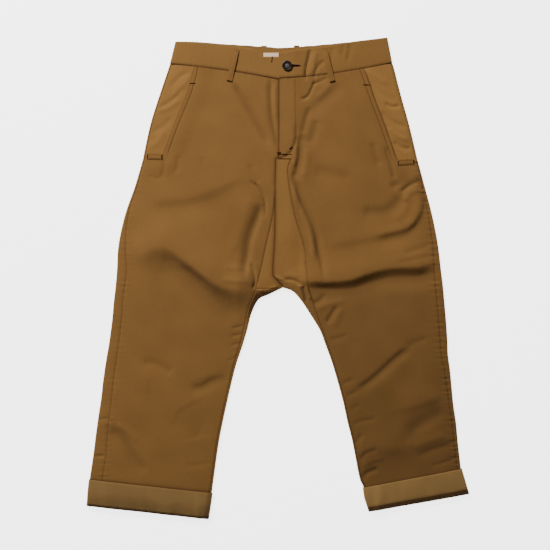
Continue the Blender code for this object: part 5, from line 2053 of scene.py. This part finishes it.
class TrousersSizes(bpy.types.PropertyGroup):
    """Sizes of the cloth and its stitching."""

    cloth: bpy.props.FloatProperty(
        name="Cloth", description="Thickness of one layer of cloth",
        default=CLOTH * MM, min=0.0002, unit="LENGTH",
    )
    band: bpy.props.FloatProperty(
        name="Band", description="Thickness of the waistband",
        default=BAND * MM, min=0.0002, unit="LENGTH",
    )
    stitch_length: bpy.props.FloatProperty(
        name="Stitch length", description="Length of one stitch",
        default=STITCH_LENGTH * MM, min=0.0005, unit="LENGTH",
    )
    stitch_spacing: bpy.props.FloatProperty(
        name="Stitch spacing", description="From the middle of one stitch to the next",
        default=STITCH_SPACING * MM, min=0.0008, unit="LENGTH",
    )
    thread_radius: bpy.props.FloatProperty(
        name="Thread radius", description="Radius of the sewing thread",
        default=STITCH_RADIUS * MM, min=0.00005, unit="LENGTH",
    )
    fold_strength: bpy.props.FloatProperty(
        name="Fold strength", description="How strong the folds of the cloth are",
        default=1.0, min=0.0, max=1.2, subtype="FACTOR",
    )


class TrousersStage(bpy.types.PropertyGroup):
    """Light and camera of the stage."""

    key_power: bpy.props.FloatProperty(
        name="Key power", description="Power of the key light",
        default=125.0, min=0.0, unit="POWER",
    )
    key_size: bpy.props.FloatProperty(
        name="Key size", description="Side of the square key light",
        default=0.7, min=0.01, unit="LENGTH",
    )
    world_strength: bpy.props.FloatProperty(
        name="World strength", description="Strength of the even light all round",
        default=0.12, min=0.0,
    )
    camera_height: bpy.props.FloatProperty(
        name="Camera height", description="Height of the camera over the floor",
        default=2.6, min=0.5, unit="LENGTH",
    )


def check_made(*names):
    """Raise an error when a piece is missing or has no faces."""
    for name in names:
        piece = bpy.data.objects.get(name)
        if piece is None:
            raise RuntimeError(f"{name} was not made")
        if piece.type == "MESH" and not piece.data.polygons:
            raise RuntimeError(f"{name} has no faces")


class TROUSERS_OT_stage(bpy.types.Operator):
    """Make the floor, the lights and the camera"""

    bl_idname = "trousers.stage"
    bl_label = "Stage"

    def execute(self, context):
        build_stage()
        check_made("floor", "key", "camera")
        return {"FINISHED"}


class TROUSERS_OT_backs(bpy.types.Operator):
    """Make both back panels"""

    bl_idname = "trousers.backs"
    bl_label = "Backs"

    def execute(self, context):
        for side in (RIGHT, LEFT):
            build_back(side)
            check_made("back_cloth_" + side.name)
        return {"FINISHED"}


class TROUSERS_OT_fronts(bpy.types.Operator):
    """Make both front panels, their facings and welts"""

    bl_idname = "trousers.fronts"
    bl_label = "Fronts"

    def execute(self, context):
        for side in (RIGHT, LEFT):
            build_front(side)
            build_facing(side)
            build_welt(side)
            check_made("front_cloth_" + side.name, "facing_cloth_" + side.name, "welt_cloth_" + side.name)
        return {"FINISHED"}


class TROUSERS_OT_gussets(bpy.types.Operator):
    """Make both halves of the gusset"""

    bl_idname = "trousers.gussets"
    bl_label = "Gussets"

    def execute(self, context):
        build_left_gusset()
        build_right_gusset()
        check_made("gusset_cloth_right", "gusset_cloth_left")
        return {"FINISHED"}


class TROUSERS_OT_waist(bpy.types.Operator):
    """Make the waistband, belt loops and label"""

    bl_idname = "trousers.waist"
    bl_label = "Waist"

    def execute(self, context):
        for side in (RIGHT, LEFT):
            build_back_loop(side)
            build_band(side)
            build_front_loop(side)
            check_made("back_loop_" + side.name, "band_cloth_" + side.name, "front_loop_" + side.name)
        build_label()
        check_made("label_tape")
        return {"FINISHED"}


class TROUSERS_OT_cuffs(bpy.types.Operator):
    """Make both turned-up cuffs"""

    bl_idname = "trousers.cuffs"
    bl_label = "Cuffs"

    def execute(self, context):
        for side in (RIGHT, LEFT):
            build_cuff(side)
            check_made("cuff_cloth_" + side.name)
        return {"FINISHED"}


class TROUSERS_OT_button(bpy.types.Operator):
    """Finish the button and its buttonhole"""

    bl_idname = "trousers.button"
    bl_label = "Button"

    def execute(self, context):
        build_button()
        check_made("button_thread", "buttonhole_slit", "buttonhole_upper", "buttonhole_lower")
        return {"FINISHED"}


class TROUSERS_OT_stitching(bpy.types.Operator):
    """Sew the lines of stitches and the bar tacks"""

    bl_idname = "trousers.stitching"
    bl_label = "Stitching"

    def execute(self, context):
        build_stitching()
        check_made("stitches_fly", "stitches_crotch", *("bar_" + tack[0] for tack in TACKS))
        return {"FINISHED"}


class TROUSERS_PT_panel(bpy.types.Panel):
    """Steps that build the trousers"""

    bl_label = "Trousers"
    bl_idname = "TROUSERS_PT_panel"
    bl_space_type = "VIEW_3D"
    bl_region_type = "UI"
    bl_category = "Trousers"

    def draw(self, context):
        for step in STEPS:
            self.layout.operator(step.bl_idname)


STEPS = (
    TROUSERS_OT_stage,
    TROUSERS_OT_backs,
    TROUSERS_OT_gussets,
    TROUSERS_OT_fronts,
    TROUSERS_OT_waist,
    TROUSERS_OT_cuffs,
    TROUSERS_OT_button,
    TROUSERS_OT_stitching,
)

CLASSES = (TrousersCloth, TrousersSizes, TrousersStage, *STEPS, TROUSERS_PT_panel)


def register():
    """Register the classes and hang the settings on the scene."""
    for made in CLASSES:
        bpy.utils.register_class(made)
    bpy.types.Scene.trousers_cloth = bpy.props.PointerProperty(type=TrousersCloth)
    bpy.types.Scene.trousers_sizes = bpy.props.PointerProperty(type=TrousersSizes)
    bpy.types.Scene.trousers_stage = bpy.props.PointerProperty(type=TrousersStage)


def unregister():
    """Take the settings and the classes away again."""
    del bpy.types.Scene.trousers_stage
    del bpy.types.Scene.trousers_sizes
    del bpy.types.Scene.trousers_cloth
    for made in reversed(CLASSES):
        bpy.utils.unregister_class(made)


def main():
    """Build every piece in order."""
    register()
    bpy.ops.trousers.stage()
    bpy.ops.trousers.backs()
    bpy.ops.trousers.gussets()
    bpy.ops.trousers.fronts()
    bpy.ops.trousers.waist()
    bpy.ops.trousers.cuffs()
    bpy.ops.trousers.button()
    bpy.ops.trousers.stitching()


if __name__ == "__main__":
    main()
